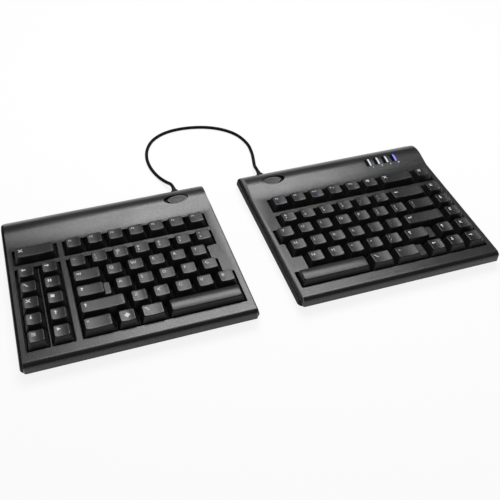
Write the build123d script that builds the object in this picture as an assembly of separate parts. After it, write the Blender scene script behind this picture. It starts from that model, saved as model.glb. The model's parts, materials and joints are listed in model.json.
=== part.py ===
"""Ergonomic split keyboard: a left and a right half joined by a bridge cable behind them.

Frame: millimetres, +X to the right half, +Y to the rear, +Z up, origin on the desk under
the middle of both cases. Each half is laid out from its key grid: x = 0 at the left edge of
the number row's first slot, y = 0 at the front edge of the front key row.
"""

import math
import os
from dataclasses import dataclass, field
from functools import lru_cache

from build123d import *

# Key grid
key_pitch = 19.05
key_gap = 0.95
function_row_gap = 6.0
hot_block_gap = 5.5
hot_column_gap = 0.95

# Case plan, from the key field out to each side, the front and the rear
left_outer_margin = 8.15
left_inner_margin = 8.6875
right_inner_margin = 7.175
right_outer_margin = 9.0
front_margin = 14.0
ridge_gap = 5.7
ridge_depth = 44.0
case_corner = 5.0
half_gap = 34.4

# Heights, from the desk up
foot_stand = 1.5
foot_seat = 0.5
base_floor = 2.0
base_widest_z = 5.4
ledge_z = 8.6
lip_z = 9.6
flange_z = 9.9
deck_z = 15.8
cap_top_z = 22.2

# Base shell
base_tuck = 5.0
lip_inset = 0.9
ledge_inset = 2.1
cavity_inset = 4.6
cover_front_overlap = 2.2

# Top cover
cover_wall = 1.8
cover_front_wall = 2.0
cover_foot_inset = 2.7
cover_corner = 2.5
cover_side_inset = 3.2
cover_side_lean = 0.9
cover_front_z = 6.4
nose_radius = 4.85
well_margin = 0.5
well_corner = 0.9
well_skirt = 1.2
hot_rib_drop = 2.0
hot_rib_width = 0.7

# Section of the ridge along the rear of each cover, its runs as shares of its depth
slope_run_share = 0.2955
slope_rise = 3.5
crown_run_share = 0.2045
crown_rise = 1.0
fall_run_share = 0.1932
fall_drop = 2.0

# Keycaps
cap_height = 9.0
cap_top_inset = 2.95
cap_corner = 1.0
cap_top_corner = 1.7
cap_wall = 1.3
cap_roof = 1.7
dish_depth = 0.55
space_crown = 1.5
step_drop = 3.2
stem_radius = 2.8
key_travel = 3.8

# Key works under the cover
backplate_thickness = 0.8
membrane_thickness = 0.5
dome_sheet_thickness = 0.6
dome_height = 3.8
dome_base_radius = 4.5
dome_top_radius = 2.5
dome_skirt_height = 2.0
dome_skin = 0.7
guide_thickness = 1.2
guide_rim = 1.2
chimney_wall = 1.35
press_clearance = 0.3
stem_clearance = 0.15
stack_front_margin = 2.2
stack_rear_margin = 2.2
stack_clearance = 0.3
skirt_clearance = 0.2

# Screws and feet
screw_head_radius = 2.4
screw_head_height = 1.2
screw_shank_radius = 1.1
screw_length = 10.0
screw_drive_width = 0.8
screw_drive_depth = 0.6
screw_clearance = 0.05
screw_front_inset = 7.7
screw_rear_inset = 9.5
screw_side_inset = 14.0
post_radius = 3.2
post_bore_radius = 1.4
boss_radius = 2.6
foot_radius = 6.5
foot_clearance = 0.1
foot_side_inset = 20.0
foot_front_inset = 20.0
foot_rear_inset = 17.0

# Release catches in the ridge
catch_opening_width = 12.0
catch_length = 21.4
catch_width = 11.2
catch_end_gap = 0.3
catch_recess = 0.5
catch_flange = 1.6
catch_flange_length = 29.0
catch_flange_width = 15.4
catch_clearance = 0.3
catch_travel = 2.2
left_catch_from_inner_side = 33.8
right_catch_from_inner_side = 31.6
catch_from_ridge_start = 18.7

# Status window in the right ridge
window_length = 45.5
window_width = 19.0
window_thickness = 0.9
window_corner = 1.5
window_from_outer_side = 22.75
window_from_ridge_start = 7.0
window_clearance = 0.1
light_count = 4
light_left_inset = 6.8
light_right_inset = 10.2
light_front_inset = 4.9
light_rear_inset = 5.1
light_width = 1.7
light_clearance = 0.1

# Electronics under the ridge
board_standoff = 0.8
board_thickness = 1.0
board_from_ridge_start = 3.0
board_from_rear = 5.0
board_from_middle = 14.8
board_from_side = 20.7
board_post_radius = 2.0
board_post_inset = 4.0
chip_size = 9.0
chip_height = 1.2
battery_length = 56.0
battery_height = 5.0
battery_gap = 13.0
battery_from_ridge_start = 4.0
battery_from_rear = 16.0
battery_corner = 2.0

# Charge socket and power switch in the right base's rear wall
socket_width = 8.4
socket_height = 2.8
socket_depth = 9.0
socket_wall = 0.4
socket_from_outer_side = 41.3
socket_setback = 0.6
opening_clearance = 0.2
switch_from_outer_side = 25.7
switch_knob_width = 4.0
switch_knob_height = 2.0
switch_knob_depth = 5.4
switch_plate_width = 11.0
switch_plate_height = 2.6
switch_plate_depth = 1.4
switch_plate_gap = 0.3
switch_travel = 3.0

# Cable boots and bridge cable
boot_drum_radius = 4.0
boot_drum_height = 3.8
boot_z = 7.5
boot_length = 6.5
boot_root_radius = 2.6
boot_tip_radius = 2.2
boot_clearance = 0.15
left_boot_from_inner_side = 29.0
right_boot_from_inner_side = 26.8
cable_radius = 1.75
cable_exit_run = 6.5
cable_bend_share = 0.45

# Lie of the bridge cable from each boot's tip: to the right, to the rear, and above the desk
left_cable_lie = [
    (-3.175, 15.7, 1.85), (-9.175, 29.7, 0), (-13.575, 47, 0), (-13.775, 66, 0),
    (-8.375, 84.5, 0), (2.625, 99.1, 0), (20.625, 107.9, 0),
]
right_cable_lie = [
    (-44.775, 108.3, 0), (-19.775, 100.5, 0), (0.225, 83.1, 0), (8.225, 59.9, 0),
    (7.025, 40.1, 0), (3.825, 25.5, 0), (1.225, 15.3, 1.85),
]

# One overrun for every cut that runs past a face
overrun = 1.0

# Derived places
floor_z = foot_stand + base_floor
cap_bottom_z = cap_top_z - cap_height
membrane_z = floor_z + backplate_thickness
dome_sheet_z = membrane_z + membrane_thickness
dome_z = dome_sheet_z + dome_sheet_thickness
dome_top_z = dome_z + dome_height
guide_top_z = cap_bottom_z - key_travel - press_clearance
guide_z = guide_top_z - guide_thickness
chimney_top_z = cap_top_z - cap_roof - key_travel - press_clearance
stem_bottom_z = dome_top_z + stem_clearance
skirt_bottom_z = guide_top_z + skirt_clearance
board_z = floor_z + board_standoff
board_top_z = board_z + board_thickness
crown_z = deck_z + slope_rise + crown_rise
well_top_z = crown_z + overrun
socket_z = board_top_z
cap_base_depth = key_pitch - key_gap
catch_opening_length = catch_length + catch_travel + 2 * catch_end_gap
catch_offset = catch_travel / 2
row_count = 5
left_span_share = 7.25
right_overhang_share = 0.5
right_span_share = 9


def stem_offsets(width, raised):
    """Places of a cap's stem and outer posts from the left edge of its slot."""
    if width < 2 * key_pitch:
        return [(raised or width) / 2]
    return [width / 2, key_pitch / 2, width - key_pitch / 2]


@dataclass
class Slot:
    """The space of one key: its left and front edges and its size, from the grid's corner."""

    left: float
    front: float
    width: float
    raised: float = 0.0
    crowned: bool = False

    def stems(self):
        """X places of the cap's centre stem and, on a wide cap, its two outer posts."""
        return [self.left + offset for offset in stem_offsets(self.width, self.raised)]

    def y(self):
        """Y of the slot's middle."""
        return self.front + key_pitch / 2


def row_front(row):
    """Front edge of a key row; the row after the last full one is the function row."""
    return row * key_pitch + (function_row_gap if row == row_count else 0)


def slots(row, start_share, width_shares, raised_share=0, crowned=False):
    """Keys side by side in a row, with widths in key pitches."""
    found = []
    left = start_share * key_pitch
    for share in width_shares:
        width = share * key_pitch
        found.append(Slot(left, row_front(row), width, raised_share * key_pitch, crowned))
        left += width
    return found


hot_inner_left = -hot_block_gap - key_pitch
hot_outer_left = hot_inner_left - hot_column_gap - key_pitch
hot_width = -hot_block_gap - hot_outer_left

left_side_margin = left_outer_margin - hot_outer_left
left_case_width = left_side_margin + left_span_share * key_pitch + left_inner_margin
right_side_margin = right_inner_margin + right_overhang_share * key_pitch
right_case_width = right_side_margin + right_span_share * key_pitch + right_outer_margin
overall_width = left_case_width + half_gap + right_case_width
ridge_start = front_margin + row_front(row_count) + key_pitch + ridge_gap
case_depth = ridge_start + ridge_depth
slope_run = slope_run_share * ridge_depth
crown_run = crown_run_share * ridge_depth
fall_run = fall_run_share * ridge_depth
catch_y = ridge_start + catch_from_ridge_start
window_left = right_case_width - window_from_outer_side - window_length
window_front = ridge_start + window_from_ridge_start
light_front = window_front + light_front_inset
light_length = window_width - light_front_inset - light_rear_inset
light_pitch = (window_length - light_left_inset - light_right_inset) / (light_count - 1)
board_front = ridge_start + board_from_ridge_start
board_depth = ridge_depth - board_from_ridge_start - board_from_rear
battery_depth = ridge_depth - battery_from_ridge_start - battery_from_rear
socket_left = right_case_width - socket_from_outer_side - socket_width
switch_left = right_case_width - switch_from_outer_side - switch_knob_width

left_keys = {
    "left_function_keys": slots(5, 0, [1] * 7),
    "left_number_keys": slots(4, 0, [1] * 7),
    "left_upper_keys": slots(3, 1.5, [1] * 5),
    "left_home_keys": slots(2, 1.75, [1] * 5),
    "left_lower_keys": slots(1, 2.25, [1] * 5),
    "outer_hot_keys": [Slot(hot_outer_left, row_front(row), key_pitch) for row in range(row_count)],
    "inner_hot_keys": [Slot(hot_inner_left, row_front(row), key_pitch) for row in range(row_count)],
    "escape_key": [Slot(hot_outer_left, row_front(row_count), hot_width)],
    "tab_key": slots(3, 0, [1.5]),
    "caps_key": slots(2, 0, [1.75], raised_share=1.5),
    "left_shift_key": slots(1, 0, [2.25]),
    "left_control_key": slots(0, 0, [1.5]),
    "system_key": slots(0, 1.5, [1]),
    "left_alt_key": slots(0, 2.5, [1.25]),
    "left_space_key": slots(0, 3.75, [3.5], crowned=True),
}
right_keys = {
    "right_function_keys": slots(5, 0, [1] * 6) + slots(5, 8, [1]),
    "right_number_keys": slots(4, 0, [1] * 6),
    "right_upper_keys": slots(3, -0.5, [1] * 7),
    "right_home_keys": slots(2, -0.25, [1] * 6),
    "right_lower_keys": slots(1, 0.25, [1] * 5),
    "navigation_keys": [slots(row, 8, [1])[0] for row in range(1, row_count)],
    "delete_key": slots(5, 6, [2]),
    "backspace_key": slots(4, 6, [2]),
    "backslash_key": slots(3, 6.5, [1.5]),
    "enter_key": slots(2, 5.75, [2.25]),
    "right_shift_key": slots(1, 5.25, [1.75], raised_share=1.4),
    "up_arrow_key": slots(1, 7, [1]),
    "right_space_key": slots(0, -0.5, [3.5], crowned=True),
    "right_alt_key": slots(0, 3, [1.25]),
    "right_control_key": slots(0, 4.25, [1.75], raised_share=1.4),
    "lower_arrow_keys": slots(0, 6, [1] * 3),
}

# Well of each row as its left edge and width in key pitches, row by row from the front
left_well_shares = [(0, 7.25), (0, 7.25), (0, 6.75), (0, 6.5), (0, 7), (0, 7)]
right_well_shares = [(-0.5, 9.5), (0.25, 8.75), (-0.25, 9.25), (-0.5, 9.5), (0, 9), (0, 9)]


@dataclass
class Half:
    """One half of the keyboard: where its case and key grid stand."""

    side: str
    width: float
    case_left: float
    side_margin: float
    keys: dict
    well_shares: list
    boot_x: float
    catch_x: float
    outboard: int
    case_front: float = field(default=-case_depth / 2)

    def grid(self):
        """Where the key grid's corner lies in the part's frame."""
        return Pos(self.case_left + self.side_margin, self.case_front + front_margin, 0)

    def case(self):
        """Where the case's front left corner lies in the part's frame."""
        return Pos(self.case_left, self.case_front, 0)

    def board_span(self):
        """Left edge of the circuit board from the case's corner, and its length."""
        left = self.width / 2 + board_from_middle
        return left, self.width - board_from_side - left

    def all_slots(self):
        """Every key slot of this half."""
        return [slot for group in self.keys.values() for slot in group]

    def screw_places(self):
        """Screws along the front and the rear, from the case's corner."""
        across = [screw_side_inset, self.width / 2, self.width - screw_side_inset]
        along = [screw_front_inset, case_depth - screw_rear_inset]
        return [(x, y) for y in along for x in across]

    def foot_places(self):
        """Feet near the four corners, from the case's corner."""
        across = [foot_side_inset, self.width - foot_side_inset]
        along = [foot_front_inset, case_depth - foot_rear_inset]
        return [(x, y) for y in along for x in across]


left_case_left = -overall_width / 2
right_case_left = left_case_left + left_case_width + half_gap
left_half = Half(
    "left", left_case_width, left_case_left, left_side_margin, left_keys, left_well_shares,
    left_case_width - left_boot_from_inner_side,
    left_case_width - left_catch_from_inner_side, -1,
)
right_half = Half(
    "right", right_case_width, right_case_left, right_side_margin, right_keys,
    right_well_shares, right_boot_from_inner_side, right_catch_from_inner_side, 1,
)


def plate(width, depth, height, left=0.0, front=0.0, bottom=0.0, corner=0.0):
    """A flat block with its left, front and lower faces where given, and rounded corners."""
    outline = RectangleRounded(width, depth, corner) if corner else Rectangle(width, depth)
    return Pos(left + width / 2, front + depth / 2, bottom) * extrude(outline, height)


def drum(x, y, bottom, radius, height):
    """An upright cylinder on its lower face."""
    return Pos(x, y, bottom) * extrude(Circle(radius), height)


def cylinder_along_y(radius, length, x, z):
    """A lying cylinder centred on y = 0."""
    return Pos(x, 0, z) * Rot(90, 0, 0) * Cylinder(radius, length)


def cylinder_along_x(radius, length, y, z):
    """A lying cylinder centred on x = 0."""
    return Pos(0, y, z) * Rot(0, 90, 0) * Cylinder(radius, length)


def sagitta_radius(chord, height):
    """Radius of the arc that rises by height over a chord."""
    return chord * chord / (8 * height) + height / 2


def taper_block(width, depth, height, lean, bottom_corner, top_corner):
    """A block from z = 0 whose four sides lean in by the same amount."""
    low = RectangleRounded(width, depth, bottom_corner)
    high = Pos(0, 0, height) * RectangleRounded(width - 2 * lean, depth - 2 * lean, top_corner)
    return loft([low, high], ruled=True)


def cap_shell(width, height, crowned):
    """Outer form and inner hollow of a cap of one width, standing on z = 0."""
    lean = cap_top_inset * height / cap_height
    outer = taper_block(width, cap_base_depth, height, lean, cap_corner, cap_top_corner)
    top_width = width - 2 * lean
    top_depth = cap_base_depth - 2 * lean
    if crowned:
        radius = sagitta_radius(top_depth, space_crown)
        outer = outer & cylinder_along_x(radius, 2 * width, 0, height - radius)
    else:
        radius = sagitta_radius(top_width, dish_depth)
        outer = outer - cylinder_along_y(radius, 2 * cap_base_depth, 0, height + radius - dish_depth)
    hollow_height = height - cap_roof
    hollow = taper_block(
        width - 2 * cap_wall, cap_base_depth - 2 * cap_wall, hollow_height,
        lean * hollow_height / height, cap_corner, cap_corner,
    )
    return outer, hollow


@lru_cache(maxsize=None)
def cap_form(slot_width, raised, crowned):
    """A cap of one size with its stem and posts, its lower edge on z = 0 and its middle on x = 0."""
    width = slot_width - key_gap
    outer, hollow = cap_shell(width, cap_height, crowned)
    if raised:
        raised_width = raised - key_gap
        low_width = width - raised_width / 2
        to_left = Pos((raised_width - width) / 2, 0, 0)
        to_right = Pos((width - low_width) / 2, 0, 0)
        high_outer, high_hollow = cap_shell(raised_width, cap_height, False)
        low_outer, low_hollow = cap_shell(low_width, cap_height - step_drop, False)
        outer = to_right * low_outer + to_left * high_outer
        hollow = to_right * low_hollow + to_left * high_hollow
    drop = cap_bottom_z - stem_bottom_z
    rise = drop + cap_height - cap_roof
    offsets = stem_offsets(slot_width, raised)
    stems = [drum(x - slot_width / 2, 0, -drop, stem_radius, rise) for x in offsets]
    return outer - hollow + stems


def keycap(slot):
    """One cap in its slot."""
    place = Pos(slot.left + slot.width / 2, slot.y(), cap_bottom_z)
    return place * cap_form(slot.width, slot.raised, slot.crowned)


def well_sketch(half, grow=0.0):
    """Outline of every key well of a half, grown by a margin, with the hot columns apart."""
    margin = well_margin + grow
    blocks = Sketch()
    for row, (start, span) in enumerate(half.well_shares):
        width = span * key_pitch + 2 * margin
        depth = key_pitch + 2 * margin
        place = Pos((start + span / 2) * key_pitch, row_front(row) + key_pitch / 2)
        blocks += place * Rectangle(width, depth)
    if half.side == "left":
        length = row_count * key_pitch
        side = (hot_column_gap - hot_rib_width) / 2 + grow
        for left in (hot_outer_left, hot_inner_left):
            outer_grow = margin if left == hot_outer_left else side
            inner_grow = side if left == hot_outer_left else margin
            width = key_pitch + outer_grow + inner_grow
            place = Pos(left - outer_grow + width / 2, length / 2)
            blocks += place * Rectangle(width, length + 2 * margin)
        escape = Pos(hot_outer_left + hot_width / 2, row_front(row_count) + key_pitch / 2)
        blocks += escape * Rectangle(hot_width + 2 * margin, key_pitch + 2 * margin)
    return fillet(blocks.vertices(), well_corner)


def ridge_profile(bottom):
    """Section of the cover from front to rear, seen from the left, down to a lower line."""
    front = 0
    rear = case_depth - cover_foot_inset
    nose = ((front, deck_z - nose_radius), (nose_radius, deck_z))
    slope_top = (ridge_start + slope_run, deck_z + slope_rise)
    crown = (slope_top[0] + crown_run, slope_top[1] + crown_rise)
    fall = (crown[0] + fall_run, crown[1] - fall_drop)
    foot = (rear, flange_z)
    crown_arc = ThreePointArc(slope_top, crown, fall)
    lines = [
        Line((front, bottom), nose[0]),
        RadiusArc(nose[0], nose[1], nose_radius),
        Line(nose[1], (ridge_start, deck_z)),
        Line((ridge_start, deck_z), slope_top),
        crown_arc,
        TangentArc(fall, foot, tangent=crown_arc % 1),
        Line(foot, (rear, bottom)),
        Line((rear, bottom), (front, bottom)),
    ]
    return make_face(Curve() + lines)


def ridge_block(width, bottom, inset=0.0):
    """The cover's section run along X from x = 0, taken in all round by an inset."""
    face = ridge_profile(bottom - (inset + overrun if inset else 0))
    if inset:
        face = offset(face, -inset)
    return Plane.YZ * extrude(face, width)


def lowered_ridge(width, drop):
    """The cover's section run along X, moved down by a drop."""
    return Pos(0, 0, -drop) * ridge_block(width, ledge_z)


def side_block(width, inset=0.0):
    """Section of the cover from side to side, run along the whole depth."""
    bottom = ledge_z - (overrun if inset else 0)
    top = crown_z + overrun
    foot = cover_foot_inset + inset
    wall = cover_side_inset + inset
    lean = cover_side_lean
    half_section = [(foot, bottom), (wall, flange_z), (wall + lean, top)]
    if not inset:
        half_section.insert(1, (foot, flange_z))
    mirrored = [(width - x, z) for x, z in reversed(half_section)]
    outline = make_face(Polyline(*half_section, *mirrored, close=True))
    return Pos(0, case_depth, 0) * (Plane.XZ * extrude(outline, case_depth))


def cover_plan(half, height, bottom=0.0):
    """Upright block on the cover's outline, from the case's corner."""
    return plate(
        half.width - 2 * cover_foot_inset, case_depth - cover_foot_inset, height,
        left=cover_foot_inset, bottom=bottom, corner=cover_corner,
    )


def cover_outer(half):
    """The cover as a full block, before it is hollowed."""
    plan = cover_plan(half, well_top_z)
    return ridge_block(half.width, ledge_z) & side_block(half.width) & plan


def catch_prism(half, length, width, shift=0.0):
    """An upright oval through the ridge at the release catch."""
    outline = Ellipse(length / 2, width / 2)
    return Pos(half.catch_x + shift, catch_y, ledge_z) * extrude(outline, crown_z)


def light_places():
    """Left edges of the light bars, from the right case's corner."""
    first = window_left + light_left_inset - light_width / 2
    return [first + light_pitch * number for number in range(light_count)]


def top_cover(half):
    """Deck, ridge and skirt of one half in one moulding, with its key wells and bosses."""
    outer = cover_outer(half)
    inner = ridge_block(half.width, ledge_z, cover_wall) & side_block(half.width, cover_wall)
    body = outer - inner
    grid_shift = Pos(half.side_margin, front_margin, 0)
    skirt_height = well_top_z - skirt_bottom_z
    skirt = extrude(well_sketch(half, well_skirt), skirt_height)
    body += Pos(0, 0, skirt_bottom_z) * (grid_shift * skirt) & outer
    for x, y in half.screw_places():
        body += drum(x, y, ledge_z, boss_radius, crown_z) & outer
    wells = Pos(0, 0, ledge_z - overrun) * (grid_shift * extrude(well_sketch(half), crown_z))
    body -= wells
    for x, y in half.screw_places():
        depth = foot_stand + screw_head_height + screw_length - ledge_z
        body -= drum(x, y, ledge_z - overrun, screw_shank_radius + screw_clearance, depth + overrun)
    front_strip = plate(half.width, cover_front_wall, crown_z)
    body += cover_plan(half, ledge_z - cover_front_z + overrun, cover_front_z) & front_strip
    body -= catch_prism(half, catch_opening_length, catch_opening_width)
    body -= boot_space(half)
    if half.side == "left":
        block = plate(
            hot_width, row_count * key_pitch, well_top_z, left=hot_outer_left,
            bottom=deck_z - hot_rib_drop,
        )
        body -= grid_shift * block
    if half.side == "right":
        body -= window_space()
    return half.case() * body


def window_space():
    """Recess for the status window and slots for its light bars, from the case's corner."""
    seat = plate(
        window_length + 2 * window_clearance, window_width + 2 * window_clearance, crown_z,
        left=window_left - window_clearance, front=window_front - window_clearance, bottom=ledge_z,
        corner=window_corner + window_clearance,
    )
    recess = seat - lowered_ridge(right_case_width, window_thickness)
    for left in light_places():
        recess += plate(
            light_width + 2 * light_clearance, light_length + 2 * light_clearance, crown_z,
            left=left - light_clearance, front=light_front - light_clearance, bottom=ledge_z,
        )
    return recess


def indicator_window():
    """Dark status window that follows the ridge, with a slot for each light."""
    body = plate(
        window_length, window_width, crown_z, left=window_left, front=window_front,
        bottom=ledge_z, corner=window_corner,
    )
    body = body & ridge_block(right_case_width, ledge_z)
    body -= lowered_ridge(right_case_width, window_thickness)
    for left in light_places():
        body -= plate(
            light_width + 2 * light_clearance, light_length + 2 * light_clearance, crown_z,
            left=left - light_clearance, front=light_front - light_clearance, bottom=ledge_z,
        )
    return right_half.case() * body


def indicator_lights():
    """Clear bars that carry light from the board to the window's face."""
    bars = []
    for left in light_places():
        bar = plate(
            light_width, light_length, crown_z, left=left, front=light_front, bottom=board_top_z,
        )
        bars.append(right_half.case() * (bar & ridge_block(right_case_width, floor_z)))
    return bars


def base_outline(half, inset):
    """Outline of the base at one level, taken in by an inset."""
    width = half.width - 2 * inset
    depth = case_depth - cover_front_overlap - 2 * inset
    corner = max(case_corner - inset, cap_corner)
    middle = Pos(half.width / 2, (case_depth + cover_front_overlap) / 2)
    return middle * RectangleRounded(width, depth, corner)


def boot_space(half):
    """Upright pocket in the rear wall for the cable boot's drum."""
    return drum(
        half.boot_x, case_depth, boot_z - boot_drum_height / 2 - boot_clearance,
        boot_drum_radius + boot_clearance, boot_drum_height + 2 * boot_clearance,
    )


def base(half):
    """Lower shell: floor, flared walls, ledge for the cover, screw posts and foot recesses."""
    low = loft(
        [Pos(0, 0, foot_stand) * base_outline(half, base_tuck),
         Pos(0, 0, base_widest_z) * base_outline(half, 0)], ruled=True,
    )
    high = loft(
        [Pos(0, 0, base_widest_z) * base_outline(half, 0),
         Pos(0, 0, lip_z) * base_outline(half, lip_inset)], ruled=True,
    )
    body = low + high
    body -= Pos(0, 0, floor_z) * extrude(base_outline(half, cavity_inset), lip_z)
    body -= Pos(0, 0, ledge_z) * extrude(base_outline(half, ledge_inset), lip_z)
    body -= plate(
        half.width - 2 * ledge_inset, case_corner + cover_front_overlap, lip_z,
        left=ledge_inset, bottom=ledge_z,
    )
    for x, y in half.screw_places():
        body += drum(x, y, foot_stand, post_radius, ledge_z - foot_stand)
    for x, y in half.screw_places():
        body -= drum(x, y, 0, screw_head_radius + screw_clearance, foot_stand + screw_head_height)
        body -= drum(x, y, 0, post_bore_radius, ledge_z + overrun)
    for x, y in half.foot_places():
        body -= drum(x, y, 0, foot_radius + foot_clearance, foot_stand + foot_seat)
    for x, y in board_post_places(half):
        body += drum(x, y, floor_z, board_post_radius, board_standoff)
    body -= boot_space(half)
    if half.side == "right":
        body -= socket_space()
        body -= switch_space()
    return half.case() * body


def board_post_places(half):
    """Posts under the corners of the circuit board, from the case's corner."""
    left, length = half.board_span()
    across = [left + board_post_inset, left + length - board_post_inset]
    along = [board_front + board_post_inset, board_front + board_depth - board_post_inset]
    return [(x, y) for y in along for x in across]


def circuit_board(half):
    """Controller board under the ridge with its main chip."""
    left, length = half.board_span()
    body = plate(length, board_depth, board_thickness, left=left, front=board_front, bottom=board_z)
    body += plate(
        chip_size, chip_size, chip_height, left=left + chip_size / 2,
        front=board_front + chip_size / 2, bottom=board_top_z,
    )
    return half.case() * body


def screws(half):
    """Pan head screws that hold the cover down through the base, drive slots downward."""
    found = []
    for x, y in half.screw_places():
        head = drum(x, y, foot_stand, screw_head_radius, screw_head_height)
        shank = drum(x, y, foot_stand, screw_shank_radius, screw_head_height + screw_length)
        slot = plate(
            2 * screw_head_radius, screw_drive_width, screw_drive_depth,
            left=x - screw_head_radius, front=y - screw_drive_width / 2, bottom=foot_stand,
        )
        found.append(half.case() * (head + shank - slot))
    return found


def feet(half):
    """Round rubber feet let into the base."""
    height = foot_stand + foot_seat
    return [half.case() * drum(x, y, 0, foot_radius, height) for x, y in half.foot_places()]


def stack_plate(half, thickness, bottom, inset=0.0):
    """A sheet of the key works, as large as the base's hollow leaves room for."""
    gap = cavity_inset + stack_clearance + inset
    front = front_margin - stack_front_margin + inset
    rear = front_margin + row_front(row_count) + key_pitch + stack_rear_margin - inset
    return plate(
        half.width - 2 * gap, rear - front, thickness, left=gap, front=front, bottom=bottom,
    )


def key_places(half, every_post):
    """Stem places of all keys from the case's corner, with or without the outer posts."""
    places = []
    for slot in half.all_slots():
        stems = slot.stems() if every_post else slot.stems()[:1]
        places += [(half.side_margin + x, front_margin + slot.y()) for x in stems]
    return places


def guide_plate(half):
    """Plate on a rim with an upright tube that guides each stem."""
    body = stack_plate(half, guide_top_z - dome_z, dome_z)
    body -= stack_plate(half, guide_z - dome_z, dome_z, guide_rim)
    places = key_places(half, True)
    bore_radius = stem_radius + stem_clearance
    tubes = [drum(x, y, guide_z, bore_radius + chimney_wall, chimney_top_z - guide_z) for x, y in places]
    bores = [drum(x, y, dome_z, bore_radius, chimney_top_z) for x, y in places]
    return half.case() * (body + tubes - bores)


def dome():
    """One hollow rubber dome standing on z = 0, open below."""
    inner_top = dome_height - dome_skin
    points = [
        (dome_base_radius - dome_skin, -dome_sheet_thickness),
        (dome_base_radius, -dome_sheet_thickness),
        (dome_base_radius, 0),
        (dome_top_radius, dome_skirt_height),
        (dome_top_radius, dome_height),
        (0, dome_height),
        (0, inner_top),
        (dome_top_radius - dome_skin, inner_top),
        (dome_top_radius - dome_skin, dome_skirt_height),
        (dome_base_radius - dome_skin, 0),
    ]
    return revolve(Plane.XZ * make_face(Polyline(*points, close=True)), Axis.Z)


def dome_sheet(half):
    """Rubber sheet with a dome under each key."""
    body = stack_plate(half, dome_sheet_thickness, dome_sheet_z)
    places = key_places(half, False)
    hole_radius = dome_base_radius - dome_skin
    body -= [drum(x, y, dome_sheet_z, hole_radius, dome_sheet_thickness) for x, y in places]
    shape = dome()
    return half.case() * (body + [Pos(x, y, dome_z) * shape for x, y in places])


def release_catch(half):
    """Oval catch in the ridge that slides outboard, held under the cover by its flange."""
    inboard = -half.outboard * catch_offset
    top = catch_prism(half, catch_length, catch_width, inboard)
    top = top & lowered_ridge(half.width, catch_recess)
    flange = plate(
        catch_flange_length, catch_flange_width, crown_z,
        left=half.catch_x + inboard - catch_flange_length / 2,
        front=catch_y - catch_flange_width / 2, bottom=ledge_z,
    )
    under = cover_wall / math.cos(math.atan(slope_rise / slope_run)) + catch_clearance
    flange = flange & lowered_ridge(half.width, under)
    body = (top + flange) - lowered_ridge(half.width, under + catch_flange)
    return half.case() * body


def socket_space():
    """Opening in the right base's rear wall for the charge socket, from the case's corner."""
    return plate(
        socket_width + 2 * opening_clearance, socket_depth, socket_height + 2 * opening_clearance,
        left=socket_left - opening_clearance, front=case_depth - socket_depth + overrun,
        bottom=socket_z - opening_clearance,
    )


def charge_socket():
    """Metal shell of the charge socket on the board's rear edge, with its tongue."""
    left = socket_left
    front = case_depth - socket_setback - socket_depth
    shell = plate(socket_width, socket_depth, socket_height, left=left, front=front, bottom=socket_z)
    hollow = plate(
        socket_width - 2 * socket_wall, socket_depth, socket_height - 2 * socket_wall,
        left=left + socket_wall, front=front + 2 * socket_wall, bottom=socket_z + socket_wall,
    )
    tongue = plate(
        socket_width / 2, socket_depth - socket_height, socket_wall, left=left + socket_width / 4,
        front=front + socket_wall, bottom=socket_z + socket_height / 2,
    )
    return right_half.case() * (shell - hollow + tongue)


def switch_z():
    """Height of the power switch's lower face."""
    return board_top_z + switch_plate_gap


def switch_space():
    """Slot in the right base's rear wall for the power switch, from the case's corner."""
    rise = (switch_plate_height - switch_knob_height) / 2
    return plate(
        switch_knob_width + switch_travel + 2 * opening_clearance, cavity_inset + 2 * overrun,
        switch_knob_height + 2 * opening_clearance,
        left=switch_left - opening_clearance,
        front=case_depth - cavity_inset - overrun, bottom=switch_z() + rise - opening_clearance,
    )


def power_switch():
    """Slide knob through the rear wall with its plate inside."""
    inside = case_depth - cavity_inset - switch_plate_gap
    rise = (switch_plate_height - switch_knob_height) / 2
    knob = plate(
        switch_knob_width, switch_knob_depth, switch_knob_height, left=switch_left, front=inside,
        bottom=switch_z() + rise,
    )
    back = plate(
        switch_plate_width, switch_plate_depth, switch_plate_height,
        left=switch_left + (switch_knob_width - switch_plate_width) / 2,
        front=inside - switch_plate_depth, bottom=switch_z(),
    )
    return right_half.case() * (knob + back)


def battery():
    """Flat rechargeable cell on the right base's floor."""
    right = right_half.board_span()[0] - battery_gap
    return right_half.case() * plate(
        battery_length, battery_depth, battery_height, left=right - battery_length,
        front=ridge_start + battery_from_ridge_start, bottom=floor_z, corner=battery_corner,
    )


def cable_boot(half):
    """Rubber boot of the bridge cable: an upright drum in the rear wall and a tapered neck."""
    root = drum(
        half.boot_x, case_depth, boot_z - boot_drum_height / 2, boot_drum_radius, boot_drum_height,
    )
    upright = (Align.CENTER, Align.CENTER, Align.MIN)
    neck = Cone(boot_root_radius, boot_tip_radius, boot_length, align=upright)
    neck = Pos(half.boot_x, case_depth, boot_z) * Rot(-90, 0, 0) * neck
    cut = Pos(half.boot_x, case_depth, boot_z) * Box(
        4 * boot_drum_radius, 2 * boot_length, boot_drum_height,
        align=(Align.CENTER, Align.MIN, Align.CENTER),
    )
    return half.case() * (root + (neck & cut))


def cable_route():
    """Corner points of the bridge cable on the desk, from the left boot to the right one."""
    tip_y = case_depth / 2 + boot_length
    clear_y = tip_y + cable_exit_run
    left_x = left_half.case_left + left_half.boot_x
    right_x = right_half.case_left + right_half.boot_x
    lying = [(left_x + x, tip_y + y, cable_radius + z) for x, y, z in left_cable_lie]
    lying += [(right_x + x, tip_y + y, cable_radius + z) for x, y, z in right_cable_lie]
    start = [(left_x, tip_y, boot_z), (left_x, clear_y, boot_z)]
    end = [(right_x, clear_y, boot_z), (right_x, tip_y, boot_z)]
    return [*start, *lying, *end]


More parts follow.
